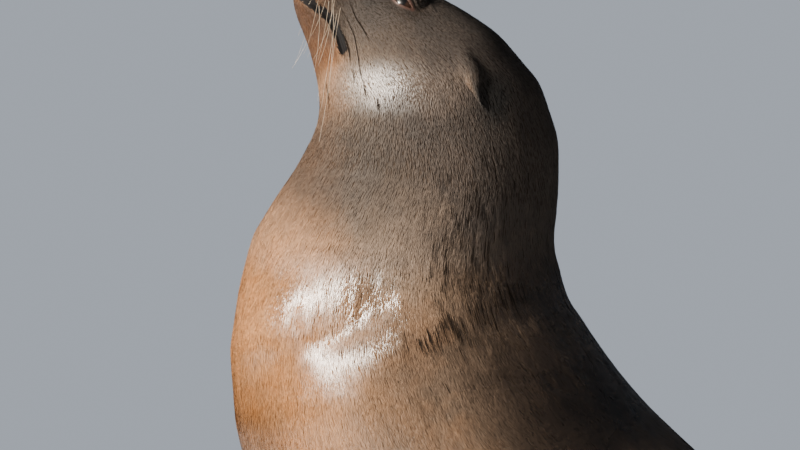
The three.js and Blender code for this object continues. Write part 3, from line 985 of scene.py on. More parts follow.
def cloudNoise(points, size, seed):
    # smooth random values between -1 and 1, one lattice step to each size
    lattice = np.random.default_rng(seed).uniform(-1, 1, (32, 32, 32))
    inCells = points / size
    cell = np.floor(inCells).astype(int)
    share = inCells - cell
    share = share * share * (3 - 2 * share)
    total = np.zeros(len(points))
    for corner in range(8):
        step = np.array([corner & 1, corner >> 1 & 1, corner >> 2 & 1])
        weight = np.prod(np.where(step, share, 1 - share), axis=1)
        i, j, k = ((cell + step) % 32).T
        total += weight * lattice[i, j, k]
    return total


def laidOn(ways, normals):
    # directions pressed flat onto the skin
    return normalised(ways - normals * np.sum(ways * normals, axis=1)[:, None])


def patchReach(points, middle, radii):
    # 0 in the middle of an oval seen from the side, 1 on its edge
    return np.hypot((points[:, 1] - middle[0]) / radii[0], (points[:, 2] - middle[1]) / radii[1])


def wetShare(points, where):
    # the lips, the nose pad and the furrow under it
    forward, up, side = headCoords(points)
    onLip = smoothStep(-0.004, 0.004, forward) * (np.abs(up) < 0.05) * (points[:, 2] > 0.72)
    lips = smoothStep(0.0062, 0.0030, np.abs(where["gap"] - 0.0012)) * onLip
    pad = smoothStep(1.22, 1.02, noseReach(up, side)) * smoothStep(0.072, 0.078, forward)
    underPad = smoothStep(0.006, 0.012, up) * (up < 0.045)
    furrow = bell(side, 0.0022) * smoothStep(0.074, 0.080, forward) * underPad
    return np.maximum(np.maximum(0.50 * lips, pad), furrow)


def lidShares(points):
    # the lids' bare rims, and the short fur close round the eye
    rim, near = np.zeros(len(points)), np.zeros(len(points))
    for sign in (1, -1):
        centre, alongWay, upWay, outWay, _ = eyeFrame(sign)
        offset = points - centre
        along, over, out = offset @ alongWay, offset @ upWay, offset @ outWay
        upper, lower = slitEdges(along)
        beyond = np.maximum(np.abs(along) - eyeSet["halfLength"], 0)
        away = np.hypot(np.maximum(np.maximum(over - upper, lower - over), 0), beyond)
        rim = np.maximum(rim, smoothStep(0.0034, 0.0014, away) * (out > 0))
        near = np.maximum(near, smoothStep(0.016, 0.004, away) * (out > 0))
    return rim, near


def coatFlow(points, normals, edges, where):
    # the hair lies along the body, and down the ears
    flow = where["flow"].copy()
    for sign in (1, -1):
        flow[where["onEar"] & (np.sign(points[:, 0]) == sign)] = earFrame(sign)[1]
    flow = laidOn(flow, normals)
    for _ in range(4):
        flow = laidOn(smoothed(flow, edges, 0.6, 5), normals)
    return flow


def coatBend(points, normals, edges, flow):
    # how far the skin curves along the lie, so that tufts can follow it
    ends = points[edges[:, 1]] - points[edges[:, 0]]
    squared = np.maximum(np.sum(ends * ends, axis=1), 1e-12)
    turn = np.sum((normals[edges[:, 1]] - normals[edges[:, 0]]) * ends, axis=1) / squared
    bend = np.zeros(len(points))
    weights = np.full(len(points), 1e-6)
    for end in (0, 1):
        weight = (np.sum(ends * flow[edges[:, end]], axis=1) ** 2 / squared) ** 2
        bend += np.bincount(edges[:, end], turn * weight, len(points))
        weights += np.bincount(edges[:, end], weight, len(points))
    bend = np.clip(bend / weights, -25, 30)
    return smoothed(bend[:, None], edges, 0.5, 4)[:, 0]


def lowerJaw(where):
    belowLips = smoothStep(0.001, -0.008, where["gap"])
    return belowLips * smoothStep(-0.012, 0.010, where["forward"]) * where["head"]


def tintOf(points, where):
    forward, up, gap, head, onEar = (where[key] for key in ("forward", "up", "gap", "head", "onEar"))
    dorsal = np.clip(where["dorsal"], -1.2, 1.2)
    tint = np.full(len(points), tintSet["side"])
    tint += tintSet["belly"] * smoothStep(0.25, -0.75, dorsal)
    tint += tintSet["back"] * smoothStep(0.05, 0.85, dorsal)
    tint += tintSet["jaw"] * smoothStep(0.0, -0.012, gap) * smoothStep(-0.004, 0.014, forward) * head
    tint += tintSet["throat"] * smoothStep(0.0, -0.06, up) * head
    tint += tintSet["breast"] * smoothStep(-0.47, -0.60, points[:, 1]) * smoothStep(0.62, 0.50, points[:, 2])
    middle, radii, amount = tintSet["saddle"]
    tint += amount * smoothStep(1.25, 0.45, patchReach(points, middle, radii))
    tint += tintSet["face"] * head * smoothStep(-0.8, -0.1, dorsal)
    tint += tintSet["pad"] * smoothStep(0.030, 0.045, forward) * smoothStep(0.045, 0.02, up) * (gap > 0)
    tint += tintSet["ear"] * bell(np.linalg.norm(points * [0, 1, 1] - earMiddle(), axis=1), 0.022)
    tint += tintSet["limb"] * where["limb"]
    inFront = smoothStep(0.15, 0.45, where["inEar"]) * smoothStep(0.3, -0.4, where["overEar"])
    tint += tintSet["earHair"] * onEar * inFront
    tint += jawSet["redder"] * lowerJaw(where)
    tint += jawSet["corner"] * bell(np.hypot(forward - 0.010, up + 0.008), 0.012)
    tailTip = smoothStep(0.955, 0.985, where["along"])
    return np.clip(tint * (1 - tailTip) + tintSet["side"] * tailTip, 0, 1)


def shadeOf(points, where):
    shade = np.ones(len(points))
    # the coat's own darker and lighter patches, together with painted light and shade
    for middle, radii, amount in shadeSet.values():
        shade *= 1 + amount * smoothStep(1.0, 0.25, patchReach(points, middle, radii))
    shade *= 1 - jawSet["darker"] * lowerJaw(where)
    onEar, inEar, overEar = (where[key] for key in ("onEar", "inEar", "overEar"))
    toTip = (earSet["root"] - earSet["dark"]) * smoothStep(0.1, 0.6, inEar)
    shade *= 1 - onEar * (1 - earSet["root"] + toTip)
    # painted highlight along the ear's rear edge, where it would catch the light
    rearEdgeHighlight = smoothStep(0.15, 0.60, overEar) * smoothStep(0.25, 0.45, inEar) * smoothStep(0.95, 0.80, inEar)
    return shade * (1 + earSet["rim"] * onEar * rearEdgeHighlight)


def drynessOf(points, where):
    height = points[:, 2]
    dry = drySet["neck"] * smoothStep(0.526, 0.572, height)
    dry = np.maximum(dry, drySet["face"] * smoothStep(0.722, 0.744, height))
    middle, radii, soaked = drySet["cheek"]
    onCheek = smoothStep(1.15, 0.40, patchReach(points, middle, radii))
    dry *= 1 - soaked * onCheek * smoothStep(0.015, 0.045, np.abs(points[:, 0]))
    dry = np.maximum(dry, drySet["ear"] * where["onEar"] * smoothStep(1.0, 0.7, np.abs(where["overEar"])))
    dry = np.maximum(dry, drySet["trunk"] * smoothStep(0.36, 0.46, where["along"]))
    return np.maximum(dry, drySet["limb"] * where["limb"])


def skinFields(skin):
    # everything the materials and the coat need to know, vertex by vertex
    points, normals, edges = placesOf(skin), normalsOf(skin), edgesOf(skin)
    where = bodyCoords(points)
    where["forward"], where["up"], _ = headCoords(points)
    where["gap"] = mouthGap(where["forward"], where["up"])
    where["head"] = smoothStep(0.20, 0.10, where["along"])
    where["onEar"] = np.arange(len(points)) >= bareVertices
    where["inEar"], where["overEar"] = earCoords(points)
    flow = coatFlow(points, normals, edges, where)
    rim, lidNear = lidShares(points)
    # the body unrolled: round it, as shares of its half width and half depth, and along it
    halfWidth = np.interp(where["along"], spineRuns / spineRuns[-1], [row[3] for row in spineSet])
    around = np.stack([points[:, 0] / halfWidth, np.clip(where["dorsal"], -1.2, 1.2)], axis=1)
    comb = np.stack([*(around.T * 0.5 * halfWidth), where["along"] * spineRuns[-1]], axis=1)
    return {
        "place": points, "normal": normals, "flow": flow, "bend": coatBend(points, normals, edges, flow),
        "tint": tintOf(points, where), "shade": shadeOf(points, where), "dry": drynessOf(points, where),
        "wet": wetShare(points, where), "rim": rim, "lidNear": lidNear, "bare": bareShare(where),
        "comb": comb, "around": around, "along": where["along"], "limb": where["limb"],
        "limbShare": np.where(where["isFore"], where["foreAlong"], where["hindAlong"]),
        "isFore": where["isFore"].astype(float), "onEar": where["onEar"].astype(float),
        "forward": where["forward"], "up": where["up"],
    }


def earMiddle():
    low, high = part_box("ear_left")
    return np.array([0, (low[1] + high[1]) / 2 - 0.006, (low[2] + high[2]) / 2])


def keepOn(mesh, name, values):
    kind = "FLOAT_VECTOR" if values.ndim == 2 else "FLOAT"
    layer = mesh.attributes.new(name, kind, "POINT")
    layer.data.foreach_set("vector" if values.ndim == 2 else "value", values.astype(np.float32).ravel())


fields = skinFields(skin)
for name in ("tint", "shade", "comb", "wet", "rim", "bare", "dry"):
    keepOn(skin.data, name, fields[name])
print("lie of the coat")

# materials

markingSet = {
    "tints": [  # place between the dark back and amber, colour
        (0.05, (0.040, 0.029, 0.022)), (0.40, (0.135, 0.092, 0.062)), (0.72, (0.270, 0.140, 0.066)),
        (0.98, (0.300, 0.112, 0.026)),
    ],
    "broad": (11.0, 0.075),  # scale, and how far the tint wanders
    "mottle": (75.0, 0.04),
    "streaks": ((520, 520, 26), 0.80, 1.18),  # scale round and along the body, darkest, lightest
}

skinFinishSet = {
    "underFur": 0.80,
    "leather": (0.024, 0.020, 0.018),
    "blotches": (38.0, 1.9),  # scale, and how much paler
    "wet": (0.005, 0.0045, 0.005),
    "rim": (0.055, 0.031, 0.025),
    "dryRough": (55.0, 0.74, 0.90),  # scale, least, most
    "wetRough": (320.0, 0.16, 0.34),
    "hairs": (1500, 1500, 60),
    "cells": (340.0, 0.16),  # scale of the leather's creases, and their width
    "swells": (60.0, 2.2),
    "pebbles": (780.0, -1.3),
    "relief": (0.0007, 0.75),  # depth, strength
    "specular": 0.20,
}

partingFinishSet = {"rough": (60.0, 0.8, 0.95), "specular": 0.08}

coatFinishSet = {
    "fleckAndLockShade": (0.64, 1.38),  # darkest and lightest tuft, with sunk locks painted darker for their shade
    "tip": (0.80, 1.05),  # brightness from the root to the tip: the hairs' lighter tips, and painted shade at the roots where the tufts overlap
    "rough": (0.26, 0.95),  # wet, dry
    "patchy": (24.0, 0.05),
    "hairs": (2600, 2600, 90),
    "relief": (0.0004, 0.35),
    "specular": 0.80,
}


def markings(tree):
    # the animal's colour with painted light and shade, the same on skin and coat
    place = objectPlace(tree)
    comb = reading(tree, "comb", "Vector")
    (broadScale, broad), (mottleScale, mottle) = markingSet["broad"], markingSet["mottle"]
    wander = maths(
        tree, "ADD", speckled(tree, place, broadScale, 3.0, -broad, broad),
        ranged(tree, noiseAt(tree, place, mottleScale), 0.25, 0.75, -mottle, mottle),
    )
    colour = ramped(tree, maths(tree, "ADD", reading(tree, "tint"), wander), markingSet["tints"])
    scale, darkest, lightest = markingSet["streaks"]
    streaks = ranged(tree, noiseAt(tree, stretched(tree, comb, scale), 1.0), 0.25, 0.75, darkest, lightest)
    return scaled(tree, colour, maths(tree, "MULTIPLY", reading(tree, "shade"), streaks)), comb, place


def skinPaint():
    paint, tree, shader = newPaint("skin")
    finish = skinFinishSet
    fur, comb, place = markings(tree)
    bare, wet, rim = (reading(tree, name) for name in ("bare", "wet", "rim"))
    scale, paler = finish["blotches"]
    blotches = speckled(tree, place, scale, 4.0)
    leather = mixed(tree, blotches, finish["leather"], tuple(value * paler for value in finish["leather"]))
    colour = mixed(tree, bare, scaled(tree, fur, finish["underFur"]), leather)
    colour = mixed(tree, rim, colour, finish["rim"])
    colour = mixed(tree, ranged(tree, wet, 0.02, 0.24), colour, finish["wet"])
    (dryScale, *dryEnds), (wetScale, *wetEnds) = finish["dryRough"], finish["wetRough"]
    dry = speckled(tree, place, dryScale, 3.0, *dryEnds)
    damp = speckled(tree, place, wetScale, 2.0, *wetEnds)
    shiny = maths(tree, "MAXIMUM", maths(tree, "POWER", wet, 4.0), maths(tree, "MULTIPLY", rim, 0.8))
    rough = addNode(tree, "Mix", {0: shiny, 2: dry, 3: damp}, data_type="FLOAT").outputs[0]
    # hair marks under the fur, creased leather on the flippers, pebbles on the nose
    furred = maths(tree, "SUBTRACT", 1.0, maths(tree, "MAXIMUM", bare, wet))
    hairs = maths(tree, "MULTIPLY", noiseAt(tree, stretched(tree, comb, finish["hairs"]), 1.0), furred)
    (cellScale, creaseWidth), (swellScale, swell) = finish["cells"], finish["swells"]
    cells = addNode(tree, "TexVoronoi", {"Vector": place, "Scale": cellScale}, feature="DISTANCE_TO_EDGE")
    creases = ranged(tree, cells.outputs["Distance"], 0.0, creaseWidth)
    swells = maths(tree, "MULTIPLY", noiseAt(tree, place, swellScale, 4.0), swell)
    creases = maths(tree, "ADD", creases, swells)
    creases = maths(tree, "MULTIPLY", creases, maths(tree, "MULTIPLY", bare, 0.5))
    grainScale, pebble = finish["pebbles"]
    grains = addNode(tree, "TexVoronoi", {"Vector": place, "Scale": grainScale}, feature="SMOOTH_F1")
    pebbles = maths(tree, "MULTIPLY", grains.outputs["Distance"], ranged(tree, wet, 0.6, 1.0, 0.0, pebble))
    relief = maths(tree, "ADD", maths(tree, "ADD", creases, pebbles), hairs)
    setOn(shader, {
        "Base Color": colour, "Roughness": rough, "Specular IOR Level": finish["specular"],
        "Normal": bumped(tree, relief, *finish["relief"]),
    })
    return paint


def partingPaint():
    # the gap between two wet locks, painted dark: its shade, with the dark skin that shows there
    paint, tree, shader = newPaint("parting")
    fur, _, place = markings(tree)
    scale, least, most = partingFinishSet["rough"]
    setOn(shader, {
        "Base Color": fur, "Roughness": speckled(tree, place, scale, 2.0, least, most),
        "Specular IOR Level": partingFinishSet["specular"],
    })
    return paint


def coatPaint():
    paint, tree, shader = newPaint("coat")
    finish = coatFinishSet
    fur, comb, place = markings(tree)
    # each tuft's own tone, lighter on raised locks and at its tip; the darker sunk locks and roots are
    # painted shade
    fleckAndLockShade = ranged(tree, reading(tree, "fleckAndLockShade"), -1.0, 1.0, *finish["fleckAndLockShade"])
    light = maths(tree, "MULTIPLY", fleckAndLockShade, ranged(tree, reading(tree, "tip"), 0.0, 0.6, *finish["tip"]))
    scale, patchy = finish["patchy"]
    rough = ranged(tree, reading(tree, "dry"), 0.0, 1.0, *finish["rough"])
    rough = maths(tree, "ADD", rough, speckled(tree, place, scale, 3.0, -patchy, patchy))
    hairs = noiseAt(tree, stretched(tree, comb, finish["hairs"]), 1.0)
    setOn(shader, {
        "Base Color": scaled(tree, fur, light), "Roughness": rough, "Specular IOR Level": finish["specular"],
        "Normal": bumped(tree, hairs, *finish["relief"]),
    })
    return paint


skin.data.materials.append(skinPaint())
coatFinish = coatPaint()
print("skin and coat painted")

# coat

coatSet = {
    "seed": 11,
    "regions": {  # share of the body's length, side, count of tufts
        "coat_head": (0.0, 0.145, 0, 64000),
        "coat_neck_left": (0.145, 0.30, 1, 64000),
        "coat_neck_right": (0.145, 0.30, -1, 50000),
        "coat_breast_left": (0.30, 0.385, 1, 50000),
        "coat_breast_right": (0.30, 0.385, -1, 36000),
        "coat_chest_left": (0.385, 0.475, 1, 42000),
        "coat_chest_right": (0.385, 0.475, -1, 32000),
        "coat_trunk": (0.475, 0.75, 0, 62000),
        "coat_hips": (0.75, 1.01, 0, 40000),
        "coat_limbs": (-1.0, -1.0, 0, 30000),
    },
    # sizes of a tuft at shares of the body's length, from the nose to the tail
    "length": (
        (0.0, 0.0030), (0.06, 0.0044), (0.11, 0.0064), (0.17, 0.0095), (0.35, 0.0105), (0.6, 0.0130),
        (1.0, 0.0115),
    ),
    "width": (
        (0.0, 0.0006), (0.06, 0.0007), (0.11, 0.0008), (0.17, 0.00082), (0.38, 0.00092), (0.6, 0.0016),
        (1.0, 0.0017),
    ),
    "lift": (
        (0.0, 0.00035), (0.06, 0.00050), (0.11, 0.00080), (0.17, 0.00074), (0.38, 0.00080), (0.6, 0.0013),
        (1.0, 0.0012),
    ),
    "spread": (0.22, 0.25, 0.15),  # how much the tufts' lengths, widths and lifts vary
    "clump": ((0.0034, 0.0034, 0.030), 0.35),  # size of the locks, and how far they rise and sink
    "limbScale": 0.62,
    "earScale": 0.75,
    "lidScale": 0.45,
    "roll": (0.100, 0.150),  # where the coat lies smooth, and where it is broken up
    "turn": (0.055, 0.011, 0.8),  # radians, size of the swirls, share of each tuft's own turn
    "patch": 0.003,
    "fan": (0.34, 0.46),
    "fleckAndLockShade": (0.22, 0.80, 0.70),  # contrast of each tuft's tone and of the painted shade between locks: smooth coat, face, broken coat
    "flatter": 0.45,  # dry fur on the flanks shades smoother
    "clearance": 0.0003,
    "faceThicker": 2.2,
}


def atShare(table, share):
    return np.interp(share, [row[0] for row in table], [row[1] for row in table])


def trianglesOf(piece):
    piece.data.calc_loop_triangles()
    return readOut(piece.data.loop_triangles, "vertices", 3, np.int64)


def tuftRoots(triangles, thickness, region, count, random):
    # places spread over the region's triangles, as corner weights
    low, high, sign, _ = region
    along, limb = (fields[key][triangles].mean(axis=1) for key in ("along", "limb"))
    onLimb = limb > 0.5
    mine = onLimb if low < 0 else ~onLimb & (along >= low) & (along < high)
    corners = fields["place"][triangles]
    if sign:
        mine &= corners.mean(axis=1)[:, 0] * sign > 0
    sides = corners[:, 1:] - corners[:, :1]
    area = 0.5 * np.linalg.norm(np.cross(sides[:, 0], sides[:, 1]), axis=1)
    steps = np.cumsum(area * thickness[triangles].mean(axis=1) * mine)
    picks = (np.arange(count) + random.random(count)) / count * steps[-1]
    chosen = np.minimum(np.searchsorted(steps, picks), len(triangles) - 1)
    first, second = random.random(count), random.random(count)
    folded = first + second > 1
    first[folded], second[folded] = 1 - first[folded], 1 - second[folded]
    return triangles[chosen], np.stack([1 - first - second, first, second], axis=1)


def atRoots(name, corners, weights):
    values = fields[name][corners]
    if values.ndim == 2:
        return np.sum(values * weights, axis=1)
    return np.sum(values * weights[:, :, None], axis=1)


def brokenCoat(place):
    # the coat is broken up on the sides of the neck behind the throat
    behind = smoothStep(-0.475, -0.430, place[:, 1])
    return behind * smoothStep(0.475, 0.530, place[:, 2]) * smoothStep(0.690, 0.650, place[:, 2])


def tuftShapes(at, random):
    # each tuft's five points: two at its root, two at its widest, and the tip
    count = len(at["place"])
    root, normal, share = at["place"], at["normal"], at["along"]
    lie = laidOn(at["flow"], normal)
    beside = np.cross(normal, lie)
    turn, swirl, own = coatSet["turn"]
    lean = turn * (cloudNoise(root, swirl, 5) + own * random.normal(size=count))
    lie = lie * np.cos(lean)[:, None] + beside * np.sin(lean)[:, None]
    roll = np.interp(at["broken"], (0, 1), coatSet["roll"]) * random.normal(size=count)
    beside = np.cross(normal, lie) * np.cos(roll)[:, None] + normal * np.sin(roll)[:, None]
    size = 1 - (1 - coatSet["limbScale"]) * at["limb"] - (1 - coatSet["earScale"]) * at["onEar"]
    size *= 1 - (1 - coatSet["lidScale"]) * at["lidNear"]
    longer, wider, higher = coatSet["spread"]
    length = atShare(coatSet["length"], share) * size * np.exp(longer * random.normal(size=count))
    width = atShare(coatSet["width"], share) * size * np.exp(wider * random.normal(size=count))
    lockSize, lockRise = coatSet["clump"]
    clump = cloudNoise(at["comb"] / lockSize, 1.0, 8)
    rise = 1 + lockRise * clump + higher * random.normal(size=count)
    height = atShare(coatSet["lift"], share) * size * rise
    drop = -0.5 * at["bend"] * length ** 2
    middle = root + lie * (0.5 * length)[:, None] + normal * (0.25 * drop + 0.62 * height)[:, None]
    tip = root + lie * length[:, None] + normal * (drop + height)[:, None]
    start = root - normal * (0.25 * height)[:, None]
    half = 0.5 * width[:, None] * beside
    points = np.stack([start - 0.6 * half, start + 0.6 * half, middle + half, middle - half, tip], axis=1)
    points[:, :, 2] = np.maximum(points[:, :, 2], coatSet["clearance"])
    return points.reshape(-1, 3), beside, clump


def trianglePiece(name, points, faces):
    mesh = bpy.data.meshes.new(name)
    mesh.vertices.add(len(points))
    mesh.vertices.foreach_set("co", points.ravel())
    mesh.loops.add(faces.size)
    mesh.loops.foreach_set("vertex_index", faces.ravel())
    mesh.polygons.add(len(faces))
    mesh.polygons.foreach_set("loop_start", np.arange(0, faces.size, 3))
    mesh.update(calc_edges=True)
    return pieceOf(name, mesh)


def roundTufts(piece, at, beside):
    # each tuft shades as a round lock: its edges' normals fan outwards
    upright = smoothStep(-0.2, 0.4, at["around"][:, 1])
    rounding = np.interp(at["broken"], (0, 1), coatSet["fan"])
    rounding = rounding * (1 - coatSet["flatter"] * (1 - upright) * at["dry"])
    fan = rounding[:, None] * np.array([[-0.6, 0.6, 1.0, -1.0, 0.0]])
    rounded = normalised(0.85 * np.repeat(at["normal"], 5, axis=0) + 0.15 * normalsOf(piece))
    rounded = normalised(rounded + (fan[:, :, None] * beside[:, None, :]).reshape(-1, 3))
    piece.data.normals_split_custom_set_from_vertices(rounded)


def growCoat(name, region, triangles, thickness, seed):
    random = np.random.default_rng(seed)
    count = region[3]
    corners, weights = tuftRoots(triangles, thickness, region, count, random)
    at = {key: atRoots(key, corners, weights) for key in fields}
    at["normal"] = normalised(at["normal"])
    at["broken"] = brokenCoat(at["place"])
    points, beside, clump = tuftShapes(at, random)
    first = 5 * np.arange(count)[:, None]
    faces = np.stack([first + [0, 2, 1], first + [0, 3, 2], first + [3, 4, 2]], axis=1).reshape(-1, 3)
    piece = trianglePiece(name, points, faces)
    for key in ("tint", "shade", "comb", "dry"):
        keepOn(piece.data, key, np.repeat(at[key], 5, axis=0))
    smooth, face, rough = coatSet["fleckAndLockShade"]
    onFace = smoothStep(0.15, 0.10, at["along"])
    contrast = smooth + (face - smooth) * onFace + (rough - smooth) * at["broken"]
    # each tuft's own random tone, with raised locks lighter and sunk ones darker as painted shade between the
    # locks
    fleckAndLockShade = contrast * np.clip(0.6 * clump + 0.45 * random.normal(size=count), -1, 1)
    keepOn(piece.data, "fleckAndLockShade", np.repeat(fleckAndLockShade, 5))
    keepOn(piece.data, "tip", np.tile([0.0, 0.0, 0.5, 0.5, 1.0], count))
    flatMap(piece.data, faces, region, at)
    piece.data.materials.append(coatFinish)
    shadeSmooth(piece)
    roundTufts(piece, at, beside)
    print(name, count, "tufts")
    return piece


def turnShare(around):
    # once round the body, from the belly's middle
    return np.arctan2(around[:, 0], around[:, 1]) / (2 * np.pi) + 0.5


def flatMap(mesh, faces, region, at):
    # the body unrolled: round it one way, along it the other, each tuft a small patch at its root
    low, high, sign, _ = region
    angle = turnShare(at["around"])
    if low < 0:
        # a strip for each of the four limbs
        flat = np.stack([angle, at["limbShare"]], axis=1) * [1.0, 0.23] + [0, 0.01]
        flat[:, 1] += 0.25 * (2 * (at["isFore"] > 0.5) + (at["around"][:, 0] > 0))
    else:
        flat = np.stack([angle, (at["along"] - low) / (high - low)], axis=1)
        if sign:
            flat[:, 0] = np.abs(flat[:, 0] - 0.5) * 2
    flat = 0.004 + 0.992 * flat
    patch = coatSet["patch"] * np.array([[-0.5, -0.5], [0.5, -0.5], [0.5, 0.0], [-0.5, 0.0], [0.0, 0.5]])
    spots = (flat[:, None, :] + patch[None, :, :]).reshape(-1, 2)
    mesh.uv_layers.new(name="OFBake").data.foreach_set("uv", spots[faces.ravel()].ravel())


def coatThickness():
    # no tufts on wet skin, lid rims, webs and soles
    thickness = (1 - fields["bare"]) * smoothStep(0.5, 0.1, fields["wet"]) * (1 - fields["rim"])
    thickness *= fields["place"][:, 2] > 0.0012
    thickness *= 1 + coatSet["faceThicker"] * smoothStep(0.16, 0.05, fields["along"])
    thickness[thickness < 0.15] = 0
    return thickness


triangles = trianglesOf(skin)
thickness = coatThickness()
coats = [
    growCoat(name, region, triangles, thickness, coatSet["seed"] + index)
    for index, (name, region) in enumerate(coatSet["regions"].items())
]

partingSet = {
    "seed": 21,
    "cheek": [  # seen from the side as (y, z)
        [
            (-0.545, 0.794), (-0.537, 0.779), (-0.5285, 0.761), (-0.5245, 0.738), (-0.5225, 0.723),
            (-0.515, 0.701),
        ],
        [(-0.535, 0.797), (-0.528, 0.779), (-0.519, 0.765), (-0.513, 0.753)],
        [(-0.530, 0.729), (-0.528, 0.714)],
        [(-0.507, 0.702), (-0.505, 0.687)],
        [(-0.556, 0.720), (-0.553, 0.704), (-0.5525, 0.688)],
        [(-0.520, 0.716), (-0.517, 0.700)],
        [(-0.540, 0.764), (-0.534, 0.748), (-0.532, 0.735)],
    ],
    "neck": {
        "count": 96, "middle": (-0.418, 0.575), "front": -0.458, "reach": (0.024, 0.048),
        "length": (0.013, 0.024),  # the shortest, and how much longer they come
    },
    "fold": {
        "count": 44, "start": (-0.470, 0.478), "run": (0.100, 0.048), "scatter": 0.006,
        "length": (0.014, 0.014),
    },
    "slimmer": 0.8,  # width of both against the cheek's
    "width": 0.0010,
    "height": 0.0024,
    "overLift": 0.0011,  # the height holds where the coat's lift is this
    "step": 0.002,
    # how dark the gaps are painted, standing for their shade
    "shade": 0.28,
}


def skinHit(y, z, sign):
    # the skin's place, normal and corners where a line from the side meets it
    _, place, normal, face = skin.ray_cast(Vector((sign, y, z)), Vector((-sign, 0, 0)))
    return np.array(place), np.array(normal), list(skin.data.polygons[face].vertices)


def partingPath(y, z, sign, length):
    # follows the lie of the coat down from its start
    hits = []
    for _ in range(int(length / partingSet["step"]) + 1):
        hits.append(skinHit(y, z, sign))
        way = fields["flow"][hits[-1][2]].mean(axis=0)
        y += way[1] * partingSet["step"]
        z += way[2] * partingSet["step"]
    return hits


def drawnPath(knots, sign):
    knots = np.array(knots)
    lengths = np.concatenate([[0], np.cumsum(np.linalg.norm(np.diff(knots, axis=0), axis=1))])
    stops = np.arange(0, lengths[-1], partingSet["step"])
    places = zip(*(np.interp(stops, lengths, knots[:, axis]) for axis in (0, 1)))
    return [skinHit(y, z, sign) for y, z in places]


def partingLines(random):
    # each with its width: on the cheeks as drawn, on the neck and along the shoulder's fold at random
    lines = []
    neck, fold, slimmer = partingSet["neck"], partingSet["fold"], partingSet["slimmer"]
    for sign in (1, -1):
        lines += [(drawnPath(knots, sign), 1.0) for knots in partingSet["cheek"]]
        shortest, more = neck["length"]
        for _ in range(neck["count"]):
            y, z = neck["middle"] + random.normal(size=2) * neck["reach"]
            y = max(y, neck["front"] + 0.02 * random.random())
            lines.append((partingPath(y, z, sign, shortest + more * random.random() ** 2), slimmer))
        shortest, more = fold["length"]
        for step in range(fold["count"]):
            share = (step + random.random()) / fold["count"]
            y = fold["start"][0] + fold["run"][0] * share
            z = fold["start"][1] + fold["run"][1] * share + fold["scatter"] * random.normal()
            lines.append((partingPath(y, z, sign, shortest + more * random.random()), slimmer))
    return lines


def addPartings():
    # dark lines where wet locks of the coat lie apart: painted shade of the gaps, with the dark skin that
    # shows there
    random = np.random.default_rng(partingSet["seed"])
    work = bmesh.new()
    spots = []
    for hits, wide in partingLines(random):
        path, normals = (smoothLine(np.array([hit[part] for hit in hits])) for part in (0, 1))
        corners = [hit[2][0] for hit in hits]
        way = normalised(np.gradient(path, axis=0))
        shares = np.linspace(-1, 1, len(path))
        widths = partingSet["width"] * wide * (1 - shares ** 2 * 0.96) * (0.7 + 0.6 * random.random())
        halves = normalised(np.cross(normals, way)) * widths[:, None] / 2
        heights = partingSet["height"] * (0.4 + 0.6 * np.sqrt(np.maximum(1 - shares ** 4, 0)))
        scale = atShare(coatSet["lift"], fields["along"][corners]) / partingSet["overLift"]
        raised = path + normals * (heights * scale)[:, None]
        sides = zip(raised - halves, raised + halves)
        pairs = [(work.verts.new(left), work.verts.new(right)) for left, right in sides]
        for (left, right), (nextLeft, nextRight) in zip(pairs, pairs[1:]):
            work.faces.new((left, right, nextRight, nextLeft))
        spots += [corner for corner in corners for _ in (0, 1)]
    piece = pieceFrom("coat_partings", work)
    mesh = piece.data
    count = len(spots)
    keepOn(mesh, "tint", np.zeros(count))
    keepOn(mesh, "shade", np.full(count, partingSet["shade"]))
    keepOn(mesh, "comb", fields["comb"][spots])
    flat = np.stack([turnShare(fields["around"][spots]), fields["along"][spots] * 2], axis=1)
    flat[:, 0] += 0.001 * (np.arange(count) % 2)
    loops = readOut(mesh.loops, "vertex_index", 1, np.int64)[:, 0]
    mesh.uv_layers.new(name="OFBake").data.foreach_set("uv", np.clip(flat, 0.001, 0.999)[loops].ravel())
    mesh.materials.append(partingPaint())
    return piece


def smoothLine(values):
    eased = values.copy()
    for _ in range(3):
        eased[1:-1] = (eased[:-2] + eased[1:-1] + eased[2:]) / 3
    return eased


coats.append(addPartings())
print("partings")

# eyes

eyeballSet = {
    "corneaWidth": 0.62,
    "corneaHeight": 0.0008,
    "rings": 40,
    "segments": 64,
    "colours": [  # from the pupil's middle outwards
        (0.20, (0.002, 0.002, 0.002)), (0.26, (0.018, 0.009, 0.005)), (0.50, (0.030, 0.014, 0.007)),
        (0.66, (0.008, 0.005, 0.004)), (0.72, (0.05, 0.03, 0.025)), (1.0, (0.16, 0.11, 0.09)),
    ],
    "spokes": 9,
}


def eyePaint():
    paint, tree, shader = newPaint("eyeball")
    spokes = ranged(tree, noiseAt(tree, reading(tree, "spoke", "Vector"), 1.0, 4.0), 0.0, 1.0, -0.05, 0.05)
    place = maths(tree, "ADD", reading(tree, "reach"), spokes)
    setOn(shader, {
        "Base Color": ramped(tree, place, eyeballSet["colours"]), "Roughness": 0.22,
        "Coat Weight": 1.0, "Coat Roughness": 0.02,
    })
    return paint


